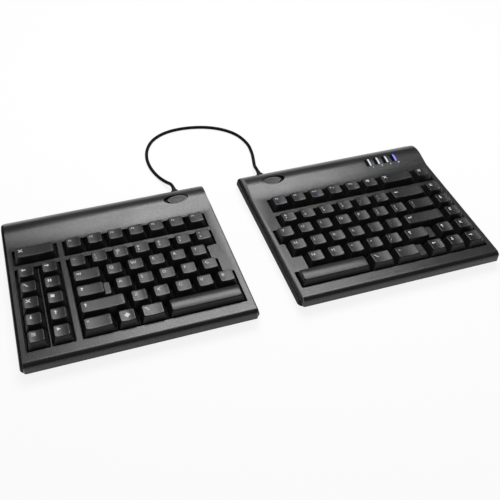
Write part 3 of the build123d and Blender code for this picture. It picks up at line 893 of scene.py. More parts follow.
@dataclass
class Keycap:
    """One cap form, its lower edge on z = 0 and its middle on x = y = 0."""

    width: float
    depth: float
    crowned: bool = False
    height: float = 9.0 * MM
    lean: float = 2.95 * MM
    low_corner: float = 1.0 * MM
    top_corner: float = 1.7 * MM
    edge: float = 0.55 * MM
    dish: float = 0.55 * MM
    crown: float = 1.1 * MM
    wall: float = 1.3 * MM
    roof: float = 1.7 * MM
    stem_radius: float = 2.8 * MM
    stem_sides: int = 16
    fullest_corner: float = 0.95
    corner_steps: int = 4
    side_steps: int = 8
    wall_shares: tuple[float, ...] = (0.3, 0.62, 0.86)
    edge_shares: tuple[float, ...] = (0.0, 0.25, 0.5, 0.75, 1.0)
    top_shares: tuple[float, ...] = (0.8, 0.6, 0.4, 0.2)

    def drop(self, x: float, y: float) -> float:
        """How far the top lies below the cap's height at a place.

        Args:
            x: The place across the cap.
            y: The place along the cap.

        Returns:
            The distance.
        """
        across = y if self.crowned else x
        chord = (self.depth if self.crowned else self.width) - 2 * self.lean
        rise = self.crown if self.crowned else self.dish
        radius = chord * chord / (8 * rise) + rise / 2
        sag = radius - math.sqrt(max(radius * radius - across * across, 0.0))
        return sag if self.crowned else max(rise - sag, 0.0)

    def outline(self, number: int, inset: float, corner: float) -> tuple[float, float]:
        """One point of a rounded rectangle that has the same count of points at every inset.

        Args:
            number: Which point, counted anticlockwise from the front right corner.
            inset: How far the rectangle is taken in.
            corner: Its corner radius.

        Returns:
            The point's x and y.
        """
        half_x = self.width / 2 - inset
        half_y = self.depth / 2 - inset
        radius = min(corner, self.fullest_corner * half_x, self.fullest_corner * half_y)
        signs = ((1, -1), (1, 1), (-1, 1), (-1, -1))

        def on_arc(quarter: int, share: float) -> tuple[float, float]:
            """A point on one corner's arc.

            Args:
                quarter: Which corner.
                share: How far along its arc.

            Returns:
                The point's x and y.
            """
            side_x, side_y = signs[quarter % 4]
            angle = math.radians(90 * (quarter - 1 + share))
            return ((half_x - radius) * side_x + radius * math.cos(angle),
                    (half_y - radius) * side_y + radius * math.sin(angle))

        quarter, step = divmod(number, self.corner_steps + self.side_steps)
        if step <= self.corner_steps:
            return on_arc(quarter, step / self.corner_steps)
        share = (step - self.corner_steps) / self.side_steps
        (x, y), (end_x, end_y) = on_arc(quarter, 1.0), on_arc(quarter + 1, 0.0)
        return x + (end_x - x) * share, y + (end_y - y) * share

    def rings(self) -> list[Points]:
        """Lay the cap's rings.

        Returns:
            Points from the inner roof down, round the lower edge and up to the top.
        """
        count = 4 * (self.corner_steps + self.side_steps)
        inside = self.height - self.roof
        lean_inside = self.lean * inside / self.height
        found = []
        for inset, z in ((self.wall + lean_inside, inside), (self.wall, 0.0), (0.0, 0.0)):
            found.append([(*self.outline(n, inset, self.low_corner), z) for n in range(count)])
        walls = {share: [] for share in self.wall_shares}
        curve = {share: [] for share in self.edge_shares}
        for number in range(count):
            x, y = self.outline(number, self.lean, self.top_corner)
            top = self.height - self.drop(x, y)
            for share, ring in walls.items():
                corner = self.low_corner + (self.top_corner - self.low_corner) * share
                z = top * share
                place = self.outline(number, self.lean * z / self.height, corner)
                ring.append((*place, z))
            low_z = top - self.edge
            low = self.outline(number, self.lean * low_z / self.height, self.top_corner)
            mid = self.outline(number, self.lean * top / self.height, self.top_corner)
            high = self.outline(number, self.lean + self.edge, self.top_corner)
            high_z = self.height - self.drop(*high)
            for share, ring in curve.items():
                a, b, c = (1 - share) ** 2, 2 * share * (1 - share), share * share
                ring.append((
                    a * low[0] + b * mid[0] + c * high[0],
                    a * low[1] + b * mid[1] + c * high[1],
                    a * low_z + b * top + c * high_z,
                ))
        found += [*walls.values(), *curve.values()]
        edge_ring = found[-1]
        for share in self.top_shares:
            flat = [(x * share, y * share) for x, y, z in edge_ring]
            found.append([(x, y, self.height - self.drop(x, y)) for x, y in flat])
        return found

    def mesh(self, stems: list[float], stem_drop: float) -> Mesh:
        """Skin the rings and add the stems.

        Args:
            stems: X of each stem's axis.
            stem_drop: How far the stems reach below the lower edge.

        Returns:
            The cap's mesh.
        """
        work = bmesh.new()
        rings = skinned(work, self.rings(), ends=False)
        count = len(rings[0])
        roof = work.verts.new((0, 0, self.height - self.roof))
        top = work.verts.new((0, 0, self.height - self.drop(0, 0)))
        for n in range(count):
            after = (n + 1) % count
            work.faces.new((rings[0][after], rings[0][n], roof))
            work.faces.new((rings[-1][n], rings[-1][after], top))
        for x in stems:
            reach = self.height - self.roof + stem_drop
            spot = Matrix.Translation((x, 0, reach / 2 - stem_drop))
            bmesh.ops.create_cone(
                work, cap_ends=True, segments=self.stem_sides, radius1=self.stem_radius,
                radius2=self.stem_radius, depth=reach, matrix=spot,
            )
        mark_edges(work)
        return closed(work)


@dataclass
class CapTree:
    """Geometry Nodes that stand a run of equal caps on their stems."""

    sockets: dict[str, str] = field(default_factory=dict)
    tree: Tree = field(init=False)

    def __post_init__(self) -> None:
        """Build the tree and note each input's identifier."""
        tree = bpy.data.node_groups.new("Caps on their stems", "GeometryNodeTree")
        tree.interface.new_socket("Geometry", in_out="INPUT", socket_type="NodeSocketGeometry")
        tree.interface.new_socket("Geometry", in_out="OUTPUT", socket_type="NodeSocketGeometry")
        kinds = {
            "Cap": "NodeSocketObject", "Cap Count": "NodeSocketInt",
            "First Cap": "NodeSocketVector", "Cap Step": "NodeSocketVector",
            "Finish": "NodeSocketMaterial",
        }
        for name, kind in kinds.items():
            socket = tree.interface.new_socket(name, in_out="INPUT", socket_type=kind)
            self.sockets[name] = socket.identifier
        given = add(tree, "NodeGroupInput").outputs
        line = add(
            tree, "GeometryNodeMeshLine", {"mode": "OFFSET"},
            links={"Count": given["Cap Count"], "Start Location": given["First Cap"],
                   "Offset": given["Cap Step"]},
        )
        cap = add(tree, "GeometryNodeObjectInfo", links={"Object": given["Cap"]})
        stood = add(
            tree, "GeometryNodeInstanceOnPoints",
            links={"Points": line.outputs["Mesh"], "Instance": cap.outputs["Geometry"]},
        )
        real = add(
            tree, "GeometryNodeRealizeInstances", links={"Geometry": stood.outputs["Instances"]}
        )
        painted = add(
            tree, "GeometryNodeSetMaterial",
            links={"Geometry": real.outputs["Geometry"], "Material": given["Finish"]},
        )
        add(tree, "NodeGroupOutput", links={"Geometry": painted.outputs["Geometry"]})
        self.tree = tree

    def run(self, cap: Mesh, count: int, first: Vector, step: Vector) -> Mesh:
        """Make one run of caps as a plain mesh.

        Args:
            cap: The cap's mesh.
            count: How many caps.
            first: Where the first cap's lower middle stands.
            step: From one cap to the next.

        Returns:
            The run's mesh.
        """
        model = bpy.data.objects.new("cap model", cap)
        bpy.context.scene.collection.objects.link(model)
        given = {"Cap": model, "Cap Count": count, "First Cap": first, "Cap Step": step,
                 "Finish": Finish.KEY.material()}
        inputs = {self.sockets[name]: value for name, value in given.items()}
        points = bpy.data.meshes.new("cap run")
        result = baked(points, "NODES", {"node_group": self.tree}, inputs)
        bpy.data.objects.remove(model)
        return result


@dataclass
class Printer:
    """Prints plain characters and signs onto a cap's dished top."""

    lift: float = 0.02 * MM
    thickness: float = 0.02 * MM
    left_inset: float = 2.1 * MM
    rear_inset: float = 2.3 * MM
    letter: float = 4.6 * MM
    pair: float = 3.6 * MM
    pair_step: float = 4.0 * MM
    small: float = 3.1 * MM
    sign: float = 4.0 * MM
    middle_sign: float = 6.4 * MM
    second_sign: float = 3.4 * MM
    second_front: float = 4.0 * MM

    def characters(self, text: str, size: float) -> Mesh:
        """Make a flat mesh of text with its left edge on x = 0 and its top on y = 0.

        Args:
            text: The characters.
            size: Their size.

        Returns:
            The mesh.
        """
        curve = bpy.data.curves.new("print", "FONT")
        curve.body = text
        curve.size = size
        curve.resolution_u = 2
        curve.extrude = self.thickness / 2
        curve.align_y = "TOP"
        return closed(opened(baked(curve), self.thickness / 20))

    def shape(self, sign: Sign, size: float) -> Mesh:
        """Make a flat mesh of a sign with its left edge on x = 0 and its top on y = 0.

        Args:
            sign: The sign.
            size: The side of its square.

        Returns:
            The mesh, closed.
        """
        work = bmesh.new()
        for outline in sign.value:
            ends = zip(outline, outline[1:] + outline[:1])
            turn = sum(a[0] * b[1] - b[0] * a[1] for a, b in ends)
            anticlockwise = outline if turn > 0 else outline[::-1]
            low = [work.verts.new((x * size, (y - 1) * size, 0)) for x, y in anticlockwise]
            high = [work.verts.new((v.co.x, v.co.y, self.thickness)) for v in low]
            for n, start in enumerate(low):
                after = (n + 1) % len(low)
                work.faces.new((start, low[after], high[after], high[n]))
            below = dict(zip(high, low))
            face = work.faces.new(high)
            face.normal_update()
            top = bmesh.ops.triangulate(work, faces=[face])["faces"]
            for triangle in top:
                work.faces.new([below[corner] for corner in reversed(triangle.verts[:])])
        return closed(work)

    def on_cap(self, cap: Keycap, prints: KeyPrint, middle: Vector) -> list[Mesh]:
        """Lay a key's prints on its top.

        Args:
            cap: The cap's form.
            prints: One or two prints, the rear one first.
            middle: Where the cap's lower middle stands.

        Returns:
            The placed meshes.
        """
        left = -cap.width / 2 + cap.lean + self.left_inset
        rear = cap.depth / 2 - cap.lean - self.rear_inset
        made = []
        for number, item in enumerate(prints):
            if item is Sign.DIAMOND:
                half = self.middle_sign / 2
                made.append(self.laid(self.shape(item, 2 * half), cap, -half, half, middle))
                continue
            if isinstance(item, Sign):
                mesh = self.shape(item, self.sign if len(prints) == 1 else self.small)
            elif len(item) > 1:
                mesh = self.characters(item, self.small)
            else:
                mesh = self.characters(item, self.letter if len(prints) == 1 else self.pair)
            made.append(self.laid(mesh, cap, left, rear - number * self.pair_step, middle))
        return made

    def laid(
        self, mesh: Mesh, cap: Keycap, left: float, rear: float, middle: Vector
    ) -> Mesh:
        """Lay a flat mesh on a cap's top.

        Args:
            mesh: The flat mesh.
            cap: The cap's form.
            left: Where on the cap its left edge comes.
            rear: Where on the cap its rear edge comes.
            middle: Where the cap's lower middle stands.

        Returns:
            The same mesh.
        """
        for vertex in mesh.vertices:
            x, y = vertex.co.x + left, vertex.co.y + rear
            z = vertex.co.z + self.lift + cap.height - cap.drop(x, y)
            vertex.co = middle + Vector((x, y, z))
        return mesh

    def second(self, cap: Keycap, sign: Sign, middle: Vector) -> Mesh:
        """Lay a small sign on a cap's front right corner, for a key's second use.

        Args:
            cap: The cap's form.
            sign: The sign.
            middle: Where the cap's lower middle stands.

        Returns:
            The placed mesh.
        """
        mesh = self.shape(sign, self.second_sign)
        front = self.second_front - cap.depth / 2 + cap.lean
        return self.laid(mesh, cap, 0.0, front, middle)


@dataclass
class KeyField:
    """All keycaps of both halves, one piece for each body, with their prints."""

    cap_depth: float = 18.1 * MM
    cap_width: float = 18.1 * MM
    cap_height: float = 9.0 * MM
    key_gap: float = 0.95 * MM
    three_stems_from: float = 2 * PITCH - 1.05 * MM
    step_drop: float = 3.2 * MM
    step_overlap: float = 6.0 * MM
    step_dish: float = 0.02 * MM
    prints: dict[str, tuple[KeyPrint, ...]] = field(init=False)
    places: dict[str, tuple[int, ...]] = field(init=False)
    raised: dict[str, float] = field(init=False)
    seconds: dict[str, tuple[Sign, ...]] = field(init=False)
    crowned: tuple[str, ...] = ("left_space_key", "right_space_key")

    def __post_init__(self) -> None:
        """Fill in what stands on each key."""
        self.prints = {
            "left_function_keys": single(f"F{n}" for n in range(1, 8)),
            "left_number_keys": tuple(zip("~!@#$%^", "`123456")),
            "left_upper_keys": single("QWERT"),
            "left_home_keys": single("ASDFG"),
            "left_lower_keys": single("ZXCVB"),
            "outer_hot_keys": single((Sign.BARS, Sign.DOWN, Sign.CROSS, Sign.STEP, Sign.LEFT)),
            "inner_hot_keys": single((Sign.PLAY, Sign.UP, Sign.SQUARE, Sign.PAUSE, Sign.RIGHT)),
            "escape_key": ((Sign.CROSS,),),
            "tab_key": ((Sign.TO_BAR,),),
            "caps_key": ((Sign.LOCK,),),
            "left_shift_key": ((Sign.UP,),),
            "left_control_key": (("^",),),
            "system_key": ((Sign.DIAMOND,),),
            "left_alt_key": ((Sign.STEP,),),
            "left_space_key": ((),),
            "right_function_keys": single(
                (*(f"F{n}" for n in range(8, 13)), Sign.PAUSE, Sign.BARS)
            ),
            "right_number_keys": tuple(zip("&*()_+", "7890-=")),
            "right_upper_keys": single("YUIOP") + tuple(zip("{}", "[]")),
            "right_home_keys": single("HJKL") + tuple(zip(':"', ";'")),
            "right_lower_keys": single("NM") + tuple(zip("<>?", ",./")),
            "navigation_keys": single((Sign.END, Sign.PAGE_DOWN, Sign.PAGE_UP, Sign.HOME)),
            "delete_key": ((Sign.CROSS,),),
            "backspace_key": ((Sign.LEFT,),),
            "backslash_key": (("|", "\\"),),
            "enter_key": ((Sign.RETURN,),),
            "right_shift_key": ((Sign.UP,),),
            "up_arrow_key": ((Sign.UP,),),
            "right_space_key": ((),),
            "right_alt_key": ((Sign.STEP,),),
            "right_control_key": (("^",),),
            "lower_arrow_keys": single((Sign.LEFT, Sign.DOWN, Sign.RIGHT)),
        }
        self.places = {"right_function_keys": (0, 1, 2, 3, 4, 5, 8)}
        self.raised = {
            "caps_key": 1.5 * PITCH, "right_shift_key": 1.4 * PITCH,
            "right_control_key": 1.4 * PITCH,
        }
        self.seconds = {
            "right_function_keys": (Sign.CROSS, Sign.PAUSE, Sign.SQUARE, Sign.PLAY, Sign.UP),
        }

    def runs(self, node: str) -> list[tuple[int, int]]:
        """Find the unbroken runs of a node's key places.

        Args:
            node: The key's node.

        Returns:
            Each run's first place and its count.
        """
        spots = self.places.get(node, tuple(range(len(self.prints[node]))))
        found = []
        for spot in spots:
            if found and spot == found[-1][0] + found[-1][1]:
                found[-1] = (found[-1][0], found[-1][1] + 1)
            else:
                found.append((spot, 1))
        return found

    def build(self, frame: dict) -> None:
        """Make every key node's piece and its prints.
        """
        tree = CapTree()
        printer = Printer()
        for node, prints in self.prints.items():
            low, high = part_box(node)
            body = frame["nodes"][node]["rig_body"]
            seat = high.z - self.cap_height
            several = len(prints) > 1
            width = self.cap_width if several else high.x - low.x
            upright = high.y - low.y > 1.5 * self.cap_depth
            step = Vector((0, PITCH, 0)) if upright else Vector((PITCH, 0, 0))
            first = Vector((low.x + width / 2, low.y + self.cap_depth / 2, seat))
            cap = Keycap(width, self.cap_depth, node in self.crowned)
            stem_drop = seat - low.z
            meshes = []
            face = cap
            face_shift = Vector()
            if node in self.raised:
                meshes, face, face_shift = self.stepped(node, cap, first, stem_drop, tree)
            else:
                stems = [0.0]
                if width > self.three_stems_from:
                    reach = (width + self.key_gap - PITCH) / 2
                    stems = [0.0, -reach, reach]
                for start, count in self.runs(node):
                    form = cap.mesh(stems, stem_drop)
                    meshes.append(tree.run(form, count, first + step * start, step))
            piece = to_object(node + "_caps", joined(meshes), Finish.KEY)
            settle(piece, body, node)
            spots = [s + n for s, count in self.runs(node) for n in range(count)]
            inked = []
            for spot, key_print in zip(spots, prints):
                inked += printer.on_cap(face, key_print, first + step * spot + face_shift)
            blue = [
                printer.second(face, sign, first + step * spot)
                for spot, sign in zip(spots, self.seconds.get(node, ()))
            ]
            layers = (("_print", inked, Finish.INK), ("_second_print", blue, Finish.BLUE_INK))
            for ending, made, finish in layers:
                if made:
                    settle(to_object(node + ending, joined(made), finish), body)
            LOG.info("%s: %d caps", node, len(prints))

    def stepped(
        self, node: str, cap: Keycap, middle: Vector, stem_drop: float, tree: CapTree
    ) -> tuple[list[Mesh], Keycap, Vector]:
        """A cap whose right end steps down.

        Args:
            node: The key's node.
            cap: A plain cap of the whole width.
            middle: Where the cap's lower middle stands.
            stem_drop: How far the stem reaches below the lower edge.
            tree: The tree that places caps.

        Returns:
            Its meshes, the form of its raised part, and the raised part's shift.
        """
        raised = self.raised[node] - self.key_gap
        low_width = cap.width - raised + self.step_overlap
        high = Keycap(raised, cap.depth)
        to_left = Vector(((raised - cap.width) / 2, 0, 0))
        to_right = Vector(((cap.width - low_width) / 2, 0, 0))
        low_height = cap.height - self.step_drop
        low_lean = cap.lean * low_height / cap.height
        low = Keycap(
            low_width, cap.depth, height=low_height, lean=low_lean, dish=self.step_dish
        )
        still = Vector()
        return [
            tree.run(high.mesh([0.0], stem_drop), 1, middle + to_left, still),
            tree.run(low.mesh([], 0.0), 1, middle + to_right, still),
        ], high, to_left


@dataclass
class BridgeCable:
    """The cable between the halves, laid on the desk behind them."""

    radius: float = 1.75 * MM
    sides: int = 16
    route: Points = field(default_factory=lambda: [
        (-0.045025, 0.0985, 0.0075), (-0.045025, 0.105, 0.0075), (-0.0482, 0.1142, 0.0036),
        (-0.0542, 0.1282, 0.00175), (-0.0586, 0.1455, 0.00175), (-0.0588, 0.1645, 0.00175),
        (-0.0534, 0.183, 0.00175), (-0.0424, 0.1976, 0.00175), (-0.0244, 0.2064, 0.00175),
        (0.0004, 0.2068, 0.00175), (0.0254, 0.199, 0.00175), (0.0454, 0.1816, 0.00175),
        (0.0534, 0.1584, 0.00175), (0.0522, 0.1386, 0.00175), (0.049, 0.124, 0.00175),
        (0.0464, 0.1138, 0.0036), (0.045175, 0.105, 0.0075), (0.045175, 0.0985, 0.0075),
    ])

    def line(self) -> list[Vector]:
        """Read the route's smooth curve.

        Returns:
            Its points.
        """
        curve = bpy.data.curves.new("cable route", "CURVE")
        curve.dimensions = "3D"
        spline = curve.splines.new("NURBS")
        spline.points.add(len(self.route) - 1)
        for point, place in zip(spline.points, self.route):
            point.co = (*place, 1.0)
        spline.order_u = 3
        spline.use_endpoint_u = True
        spline.resolution_u = 12
        return [vertex.co.copy() for vertex in baked(curve).vertices]

    def tube(self, line: list[Vector]) -> Mesh:
        """A closed round tube along a line, with a UV map that runs along it.

        Args:
            line: The points of its middle.

        Returns:
            The tube's mesh.
        """
        work = bmesh.new()
        uv = work.loops.layers.uv.new("Along")
        rings, reach = [], []
        side = Vector((0, 0, 1))
        travelled = 0.0
        for number, point in enumerate(line):
            before = line[max(number - 1, 0)]
            after = line[min(number + 1, len(line) - 1)]
            ahead = (after - before).normalized()
            side = (side - ahead * side.dot(ahead)).normalized()
            cross = ahead.cross(side)
            travelled += (point - before).length
            reach.append(travelled)
            turns = [2 * math.pi * n / self.sides for n in range(self.sides)]
            rings.append([
                point + self.radius * (math.cos(a) * side + math.sin(a) * cross) for a in turns
            ])
        skinned(work, rings)
        for index, face in enumerate(work.faces[:-2]):
            number, n = divmod(index, self.sides)
            face.smooth = True
            spots = ((n, 0), (n + 1, 0), (n + 1, 1), (n, 1))
            for loop, (turn, end) in zip(face.loops, spots):
                loop[uv].uv = (turn / self.sides, reach[number + end])
        bmesh.ops.recalc_face_normals(work, faces=work.faces)
        return closed(work)

    def build(self, frame: dict) -> None:
        line = self.line()
        cable = to_object("bridge_cable_jacket", self.tube(line), Finish.CABLE)
        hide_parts("bridge_cable")
        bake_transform(cable)


@dataclass
class CableBoot:
    """Moulded strain relief: a flat rounded root in the rear wall and a ribbed neck."""

    side: str
    root_radius: float = 4.0 * MM
    neck_radius: float = 2.5 * MM
    tip_radius: float = 2.05 * MM
    half_height: float = 1.9 * MM
    groove: float = 0.22 * MM
    groove_pitch: float = 1.1 * MM
    fullness: float = 0.9
    start_share: float = 0.97
    steps: int = 66
    sides: int = 32

    def radius(self, along: float, tip: float) -> float:
        """Half the boot's width at a distance behind the root's middle.

        Args:
            along: The distance.
            tip: The distance of the neck's end.

        Returns:
            The half width.
        """
        root = math.sqrt(max(self.root_radius ** 2 - along ** 2, 0.0))
        share = min(max(along / tip, 0.0), 1.0)
        neck = self.neck_radius + (self.tip_radius - self.neck_radius) * share
        if 0.0 < root < neck or along > self.root_radius:
            phase = math.cos(2 * math.pi * (along - tip) / self.groove_pitch)
            neck -= self.groove * (0.5 - 0.5 * phase)
        return max(root, neck) if along > 0 else root

    def build(self, frame: dict) -> None:
        """Make the boot from rounded rings and let it stand for the node.
        """
        node = f"{self.side}_cable_boot"
        low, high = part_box(node)
        middle = Vector(((low.x + high.x) / 2, low.y + self.root_radius, (low.z + high.z) / 2))
        tip = high.y - middle.y
        start = -self.start_share * self.root_radius
        rings = []
        for number in range(self.steps + 1):
            along = start + (tip - start) * number / self.steps
            wide = self.radius(along, tip)
            tall = min(wide, self.half_height)
            ring = []
            for n in range(self.sides):
                turn = 2 * math.pi * n / self.sides
                x = math.copysign(abs(math.cos(turn)) ** self.fullness, math.cos(turn)) * wide
                z = math.copysign(abs(math.sin(turn)) ** self.fullness, math.sin(turn)) * tall
                ring.append(middle + Vector((x, along, z)))
            rings.append(ring)
        work = bmesh.new()
        skinned(work, rings)
        bmesh.ops.recalc_face_normals(work, faces=work.faces)
        mark_edges(work)
        boot = to_object(f"{self.side}_boot_moulding", closed(work), Finish.BOOT)
        settle(boot, frame["nodes"][node]["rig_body"], node)
        LOG.info("%s: ribbed neck", node)


@dataclass
class StatusWindow:
    """The four light bars in the smoked window, and the plain signs beside them."""

    lit: int = 3
    signs: tuple[Print, ...] = ("1", Sign.LOCK, Sign.DOWN, Sign.PLAY)
    sign_size: float = 2.7 * MM
    letter_size: float = 3.51 * MM
    right_of_bar: float = 1.7 * MM
    before_bar: float = 0.9 * MM
    bar_width: float = 1.7 * MM
    # Painted shade: a thin black sheet to the left of each bar, where its shadow falls.
    shade_width: float = 3.6 * MM
    shade_gap: float = 0.3 * MM
    shade_steps: int = 10
    shade_heights: tuple[float, float] = (0.005 * MM, 0.02 * MM)

    def build(self, frame: dict) -> None:
        """Split the bars into lit and unlit ones.
        """
        node = "indicator_lights"
        low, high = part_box(node)
        gap = (high.x - low.x) * (self.lit - 0.5) / (len(self.signs) - 1) + low.x
        kinds = ((False, "unlit_light_bars", Finish.BAR), (True, "lit_light_bar", Finish.LIT_BAR))
        for lit, name, finish in kinds:
            work = opened(frame["nodes"][node].data, MERGE)
            others = [v for v in work.verts if (v.co.x > gap) != lit]
            bmesh.ops.delete(work, geom=others, context="VERTS")
            piece = to_object(name, closed(work), finish)
            settle(piece, "right_case", node)
        self.mark(frame, low, high)
        LOG.info("status window: bar %d lit", self.lit + 1)

    def shade(self, left: float, front: float, rear: float, probe: Probe) -> Mesh:
        """Painted shade in a bar's shadow: a thin black sheet that follows the window's face.

        Args:
            left: Its left edge.
            front: Its front edge.
            rear: Its rear edge.
            probe: Finds the window's face.

        Returns:
            The print's mesh, closed.
        """
        right = left + self.shade_width
        low, high = self.shade_heights
        rings = []
        for number in range(self.shade_steps + 1):
            y = front + (rear - front) * number / self.shade_steps
            z = probe.top(left, y)
            rings.append([(left, y, z + low), (right, y, z + low), (right, y, z + high),
                          (left, y, z + high)])
        work = bmesh.new()
        skinned(work, rings)
        bmesh.ops.recalc_face_normals(work, faces=work.faces)
        return closed(work)

    def mark(self, frame: dict, low: Vector, high: Vector) -> None:
        """Print a small plain sign before each bar, on the window's sloping face.

        Args:
            low: Least corner of the four bars' box.
            high: Greatest corner of the four bars' box.
        """
        probe = Probe(frame["nodes"]["indicator_window"])
        printer = Printer()
        pitch = (high.x - low.x - self.bar_width) / (len(self.signs) - 1)
        made, shades = [], []
        for number, sign in enumerate(self.signs):
            bar = low.x + pitch * number
            # Painted shade to the left of the bar, where its shadow falls on the window.
            left = bar - self.shade_gap - self.shade_width
            shades.append(self.shade(left, low.y - 2 * self.shade_gap, high.y, probe))
            if isinstance(sign, Sign):
                mesh = printer.shape(sign, self.sign_size)
            else:
                mesh = printer.characters(sign, self.letter_size)
            for vertex in mesh.vertices:
                x = bar + self.right_of_bar + vertex.co.x
                y = low.y - self.before_bar + vertex.co.y
                vertex.co = (x, y, probe.top(x, y) + vertex.co.z + printer.lift)
            made.append(mesh)
        layers = (("window_print", made, Finish.DIM_INK),
                  ("window_shades", shades, Finish.BLACK_INK))
        for name, meshes, finish in layers:
            settle(to_object(name, joined(meshes), finish), "right_case")


@dataclass(frozen=True)
class Softbox:
    """A rectangular lamp: its direction in degrees, its size and how bright its face is."""

    name: str
    azimuth: float
    elevation: float
    width: float
    height: float
    radiance: float


LAMPS = (
    Softbox("high softbox", 27.0, 71.0, 0.8, 0.34, 8.0),
    Softbox("rear softbox", 21.0, 54.5, 0.57, 0.18, 9.5),
)


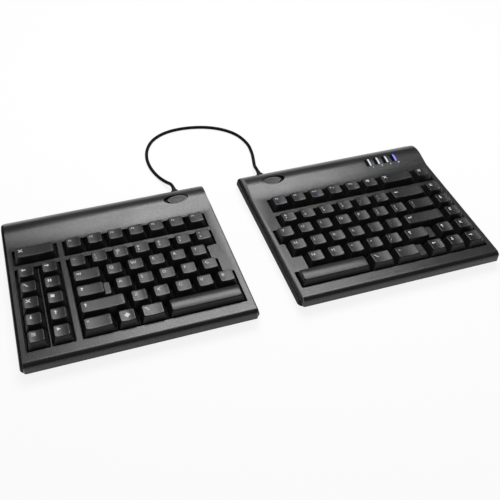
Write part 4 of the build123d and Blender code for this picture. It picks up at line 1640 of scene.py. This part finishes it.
@dataclass
class Studio:
    """Pale desk, soft lamps and the camera of the picture."""

    eye: Vector = field(default_factory=lambda: Vector((-0.16375, -0.488167, 0.481849)))
    azimuth: float = 0.330777
    depression: float = 0.754712
    roll: float = -0.0163769
    lens: float = 54.098
    sensor: float = 36.0
    near: float = 0.01
    far: float = 20.0
    centre: Vector = field(default_factory=lambda: Vector((0.0, 0.03, 0.01)))
    away: float = 0.95
    wall_top: float = 0.0
    ceiling_start: float = 0.16
    ceiling: float = 0.1
    plain_light: float = 0.2
    desk_side: float = 6.0
    desk_paint: str = "#efefef"
    desk_glow: float = 0.87
    shadow_reach: float = 0.45

    def camera(self) -> None:
        """Stand the camera at the picture's viewing angle."""
        ahead = Vector((
            math.sin(self.azimuth) * math.cos(self.depression),
            math.cos(self.azimuth) * math.cos(self.depression),
            -math.sin(self.depression),
        ))
        right = Vector((math.cos(self.azimuth), -math.sin(self.azimuth), 0.0))
        down = ahead.cross(right)
        rolled_right = math.cos(self.roll) * right + math.sin(self.roll) * down
        rolled_down = -math.sin(self.roll) * right + math.cos(self.roll) * down
        turn = Matrix((rolled_right, -rolled_down, -ahead)).transposed()
        data = bpy.data.cameras.new("picture camera")
        data.lens = self.lens
        data.sensor_width = self.sensor
        data.clip_start = self.near
        data.clip_end = self.far
        camera = bpy.data.objects.new("picture camera", data)
        camera.matrix_world = Matrix.Translation(self.eye) @ turn.to_4x4()
        bpy.context.scene.collection.objects.link(camera)
        bpy.context.scene.camera = camera

    def softbox(self, lamp: Softbox) -> None:
        """Hang a rectangular lamp that faces the keyboard.

        Args:
            lamp: The lamp.
        """
        azimuth, elevation = math.radians(lamp.azimuth), math.radians(lamp.elevation)
        reach = Vector((
            math.sin(azimuth) * math.cos(elevation), math.cos(azimuth) * math.cos(elevation),
            math.sin(elevation),
        ))
        data = bpy.data.lights.new(lamp.name, "AREA")
        data.shape = "RECTANGLE"
        data.size, data.size_y = lamp.width, lamp.height
        data.energy = lamp.radiance * math.pi * lamp.width * lamp.height
        hung = bpy.data.objects.new(lamp.name, data)
        hung.location = self.centre + reach * self.away
        hung.rotation_euler = (-reach).to_track_quat("-Z", "Y").to_euler()
        bpy.context.scene.collection.objects.link(hung)

    def pale_to_camera(self, tree: Tree) -> Socket:
        """Find the rays that show a surface to the eye, straight, mirrored or through glass.

        Args:
            tree: The tree that asks.

        Returns:
            1 for such rays and 0 for others.
        """
        path = add(tree, "ShaderNodeLightPath").outputs
        found = path["Is Camera Ray"]
        for way in ("Is Glossy Ray", "Is Transmission Ray"):
            larger = add(
                tree, "ShaderNodeMath", {"operation": "MAXIMUM"}, links={0: found, 1: path[way]}
            )
            found = larger.outputs[0]
        return found

    def world(self) -> None:
        """A pale wall under a darker ceiling that lights the object at a plain level."""
        world = bpy.data.worlds.new("pale surround")
        bpy.context.scene.world = world
        world.use_nodes = True
        tree = world.node_tree
        tree.nodes.clear()
        way = add(tree, "ShaderNodeTexCoord").outputs["Object"]
        height = add(tree, "ShaderNodeSeparateXYZ", links={"Vector": way})
        fade = add(
            tree, "ShaderNodeMapRange",
            values={"From Min": self.wall_top, "From Max": self.ceiling_start, "To Min": 1.0,
                    "To Max": self.ceiling},
            links={"Value": height.outputs["Z"]},
        )
        path = add(tree, "ShaderNodeLightPath").outputs
        seen = add(
            tree, "ShaderNodeMath", {"operation": "MAXIMUM"},
            links={0: fade.outputs["Result"], 1: path["Is Camera Ray"]},
        )
        dim = add(
            tree, "ShaderNodeBackground", values={"Color": WHITE, "Strength": self.plain_light}
        )
        pale = add(
            tree, "ShaderNodeBackground", values={"Color": WHITE},
            links={"Strength": seen.outputs[0]},
        )
        mixed = add(
            tree, "ShaderNodeMixShader",
            links={0: self.pale_to_camera(tree), 1: dim.outputs[0], 2: pale.outputs[0]},
        )
        add(tree, "ShaderNodeOutputWorld", links={"Surface": mixed.outputs[0]})

    def desk(self) -> None:
        """A pale desk top that keeps the keyboard's soft shadow."""
        side = self.desk_side / 2
        work = bmesh.new()
        corners = [(-side, -side, 0), (side, -side, 0), (side, side, 0), (-side, side, 0)]
        work.faces.new([work.verts.new(corner) for corner in corners])
        mesh = closed(work)
        material, tree = new_material("painted_desk_top")
        paint = add(tree, "ShaderNodeBsdfDiffuse", values={"Color": linear(self.desk_paint)})
        glow = add(tree, "ShaderNodeEmission", values={"Color": WHITE, "Strength": 1.0})
        place = add(tree, "ShaderNodeTexCoord").outputs["Object"]
        distance = add(
            tree, "ShaderNodeVectorMath", {"operation": "LENGTH"}, links={"Vector": place}
        )
        glowing = add(
            tree, "ShaderNodeMapRange",
            values={"From Min": self.shadow_reach, "From Max": 2 * self.shadow_reach,
                    "To Min": self.desk_glow, "To Max": 1.0},
            links={"Value": distance.outputs["Value"]},
        )
        share = add(
            tree, "ShaderNodeMath", {"operation": "MULTIPLY"},
            links={0: self.pale_to_camera(tree), 1: glowing.outputs["Result"]},
        )
        mixed = add(
            tree, "ShaderNodeMixShader",
            links={0: share.outputs[0], 1: paint.outputs[0], 2: glow.outputs[0]},
        )
        add(tree, "ShaderNodeOutputMaterial", links={"Surface": mixed.outputs[0]})
        mesh.materials.append(material)
        desk = bpy.data.objects.new("desk", mesh)
        bpy.context.scene.collection.objects.link(desk)
        desk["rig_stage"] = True

    def build(self) -> None:
        """Set the whole stage."""
        bpy.context.scene.view_settings.view_transform = "Standard"
        self.camera()
        self.world()
        self.desk()
        for lamp in LAMPS:
            self.softbox(lamp)


FINISHES = {
    Finish.SCREW: ("left_screws", "right_screws"),
    Finish.PLATE: ("left_backplate", "right_backplate"),
    Finish.FILM: ("left_membrane", "right_membrane"),
    Finish.DOME: ("left_dome_sheet", "right_dome_sheet"),
    Finish.GUIDE: ("left_guide_plate", "right_guide_plate"),
    Finish.BOARD: ("left_circuit_board", "right_circuit_board"),
    Finish.BATTERY: ("battery",),
    Finish.SOCKET: ("charge_socket",),
    Finish.BASE: ("power_switch",),
}


def dress_nodes(frame: dict) -> None:
    """Give each node that shows as the frame made it its finish.
    """
    for finish, nodes in FINISHES.items():
        for name in nodes:
            data = frame["nodes"][name].data
            data.materials.clear()
            data.materials.append(finish.material())
            LOG.info("%s: %s", name, finish.value.name)


def corners() -> list[list[float]]:
    """The object's box as two plain lists."""
    low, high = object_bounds()
    return [list(low), list(high)]


def main() -> None:
    """Build the keyboard's looks in order and report each piece."""
    logging.basicConfig(level=logging.INFO, format="%(message)s")
    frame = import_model()
    Studio().build()
    BridgeCable().build(frame)
    dress_nodes(frame)
    for side in ("left", "right"):
        mouldings = (
            ("top_cover", "cover_moulding", Finish.COVER, "cover_plastic"),
            ("base", "base_moulding", Finish.BASE, "base_plastic"),
            ("feet", "foot_pads", Finish.FOOT, "foot_rubber", 0.6 * MM, 3),
        )
        for node, name, *rest in mouldings:
            SoftenedMoulding(f"{side}_{node}", f"{side}_{name}", *rest).build(frame)
        ReleaseCatch(side).build(frame)
        CableBoot(side).build(frame)
    SoftenedMoulding(
        "indicator_window", "window_moulding", Finish.WINDOW, "window_plastic", 0.0
    ).build(frame)
    StatusWindow().build(frame)
    KeyField().build(frame)


if __name__ == "__main__":
    main()
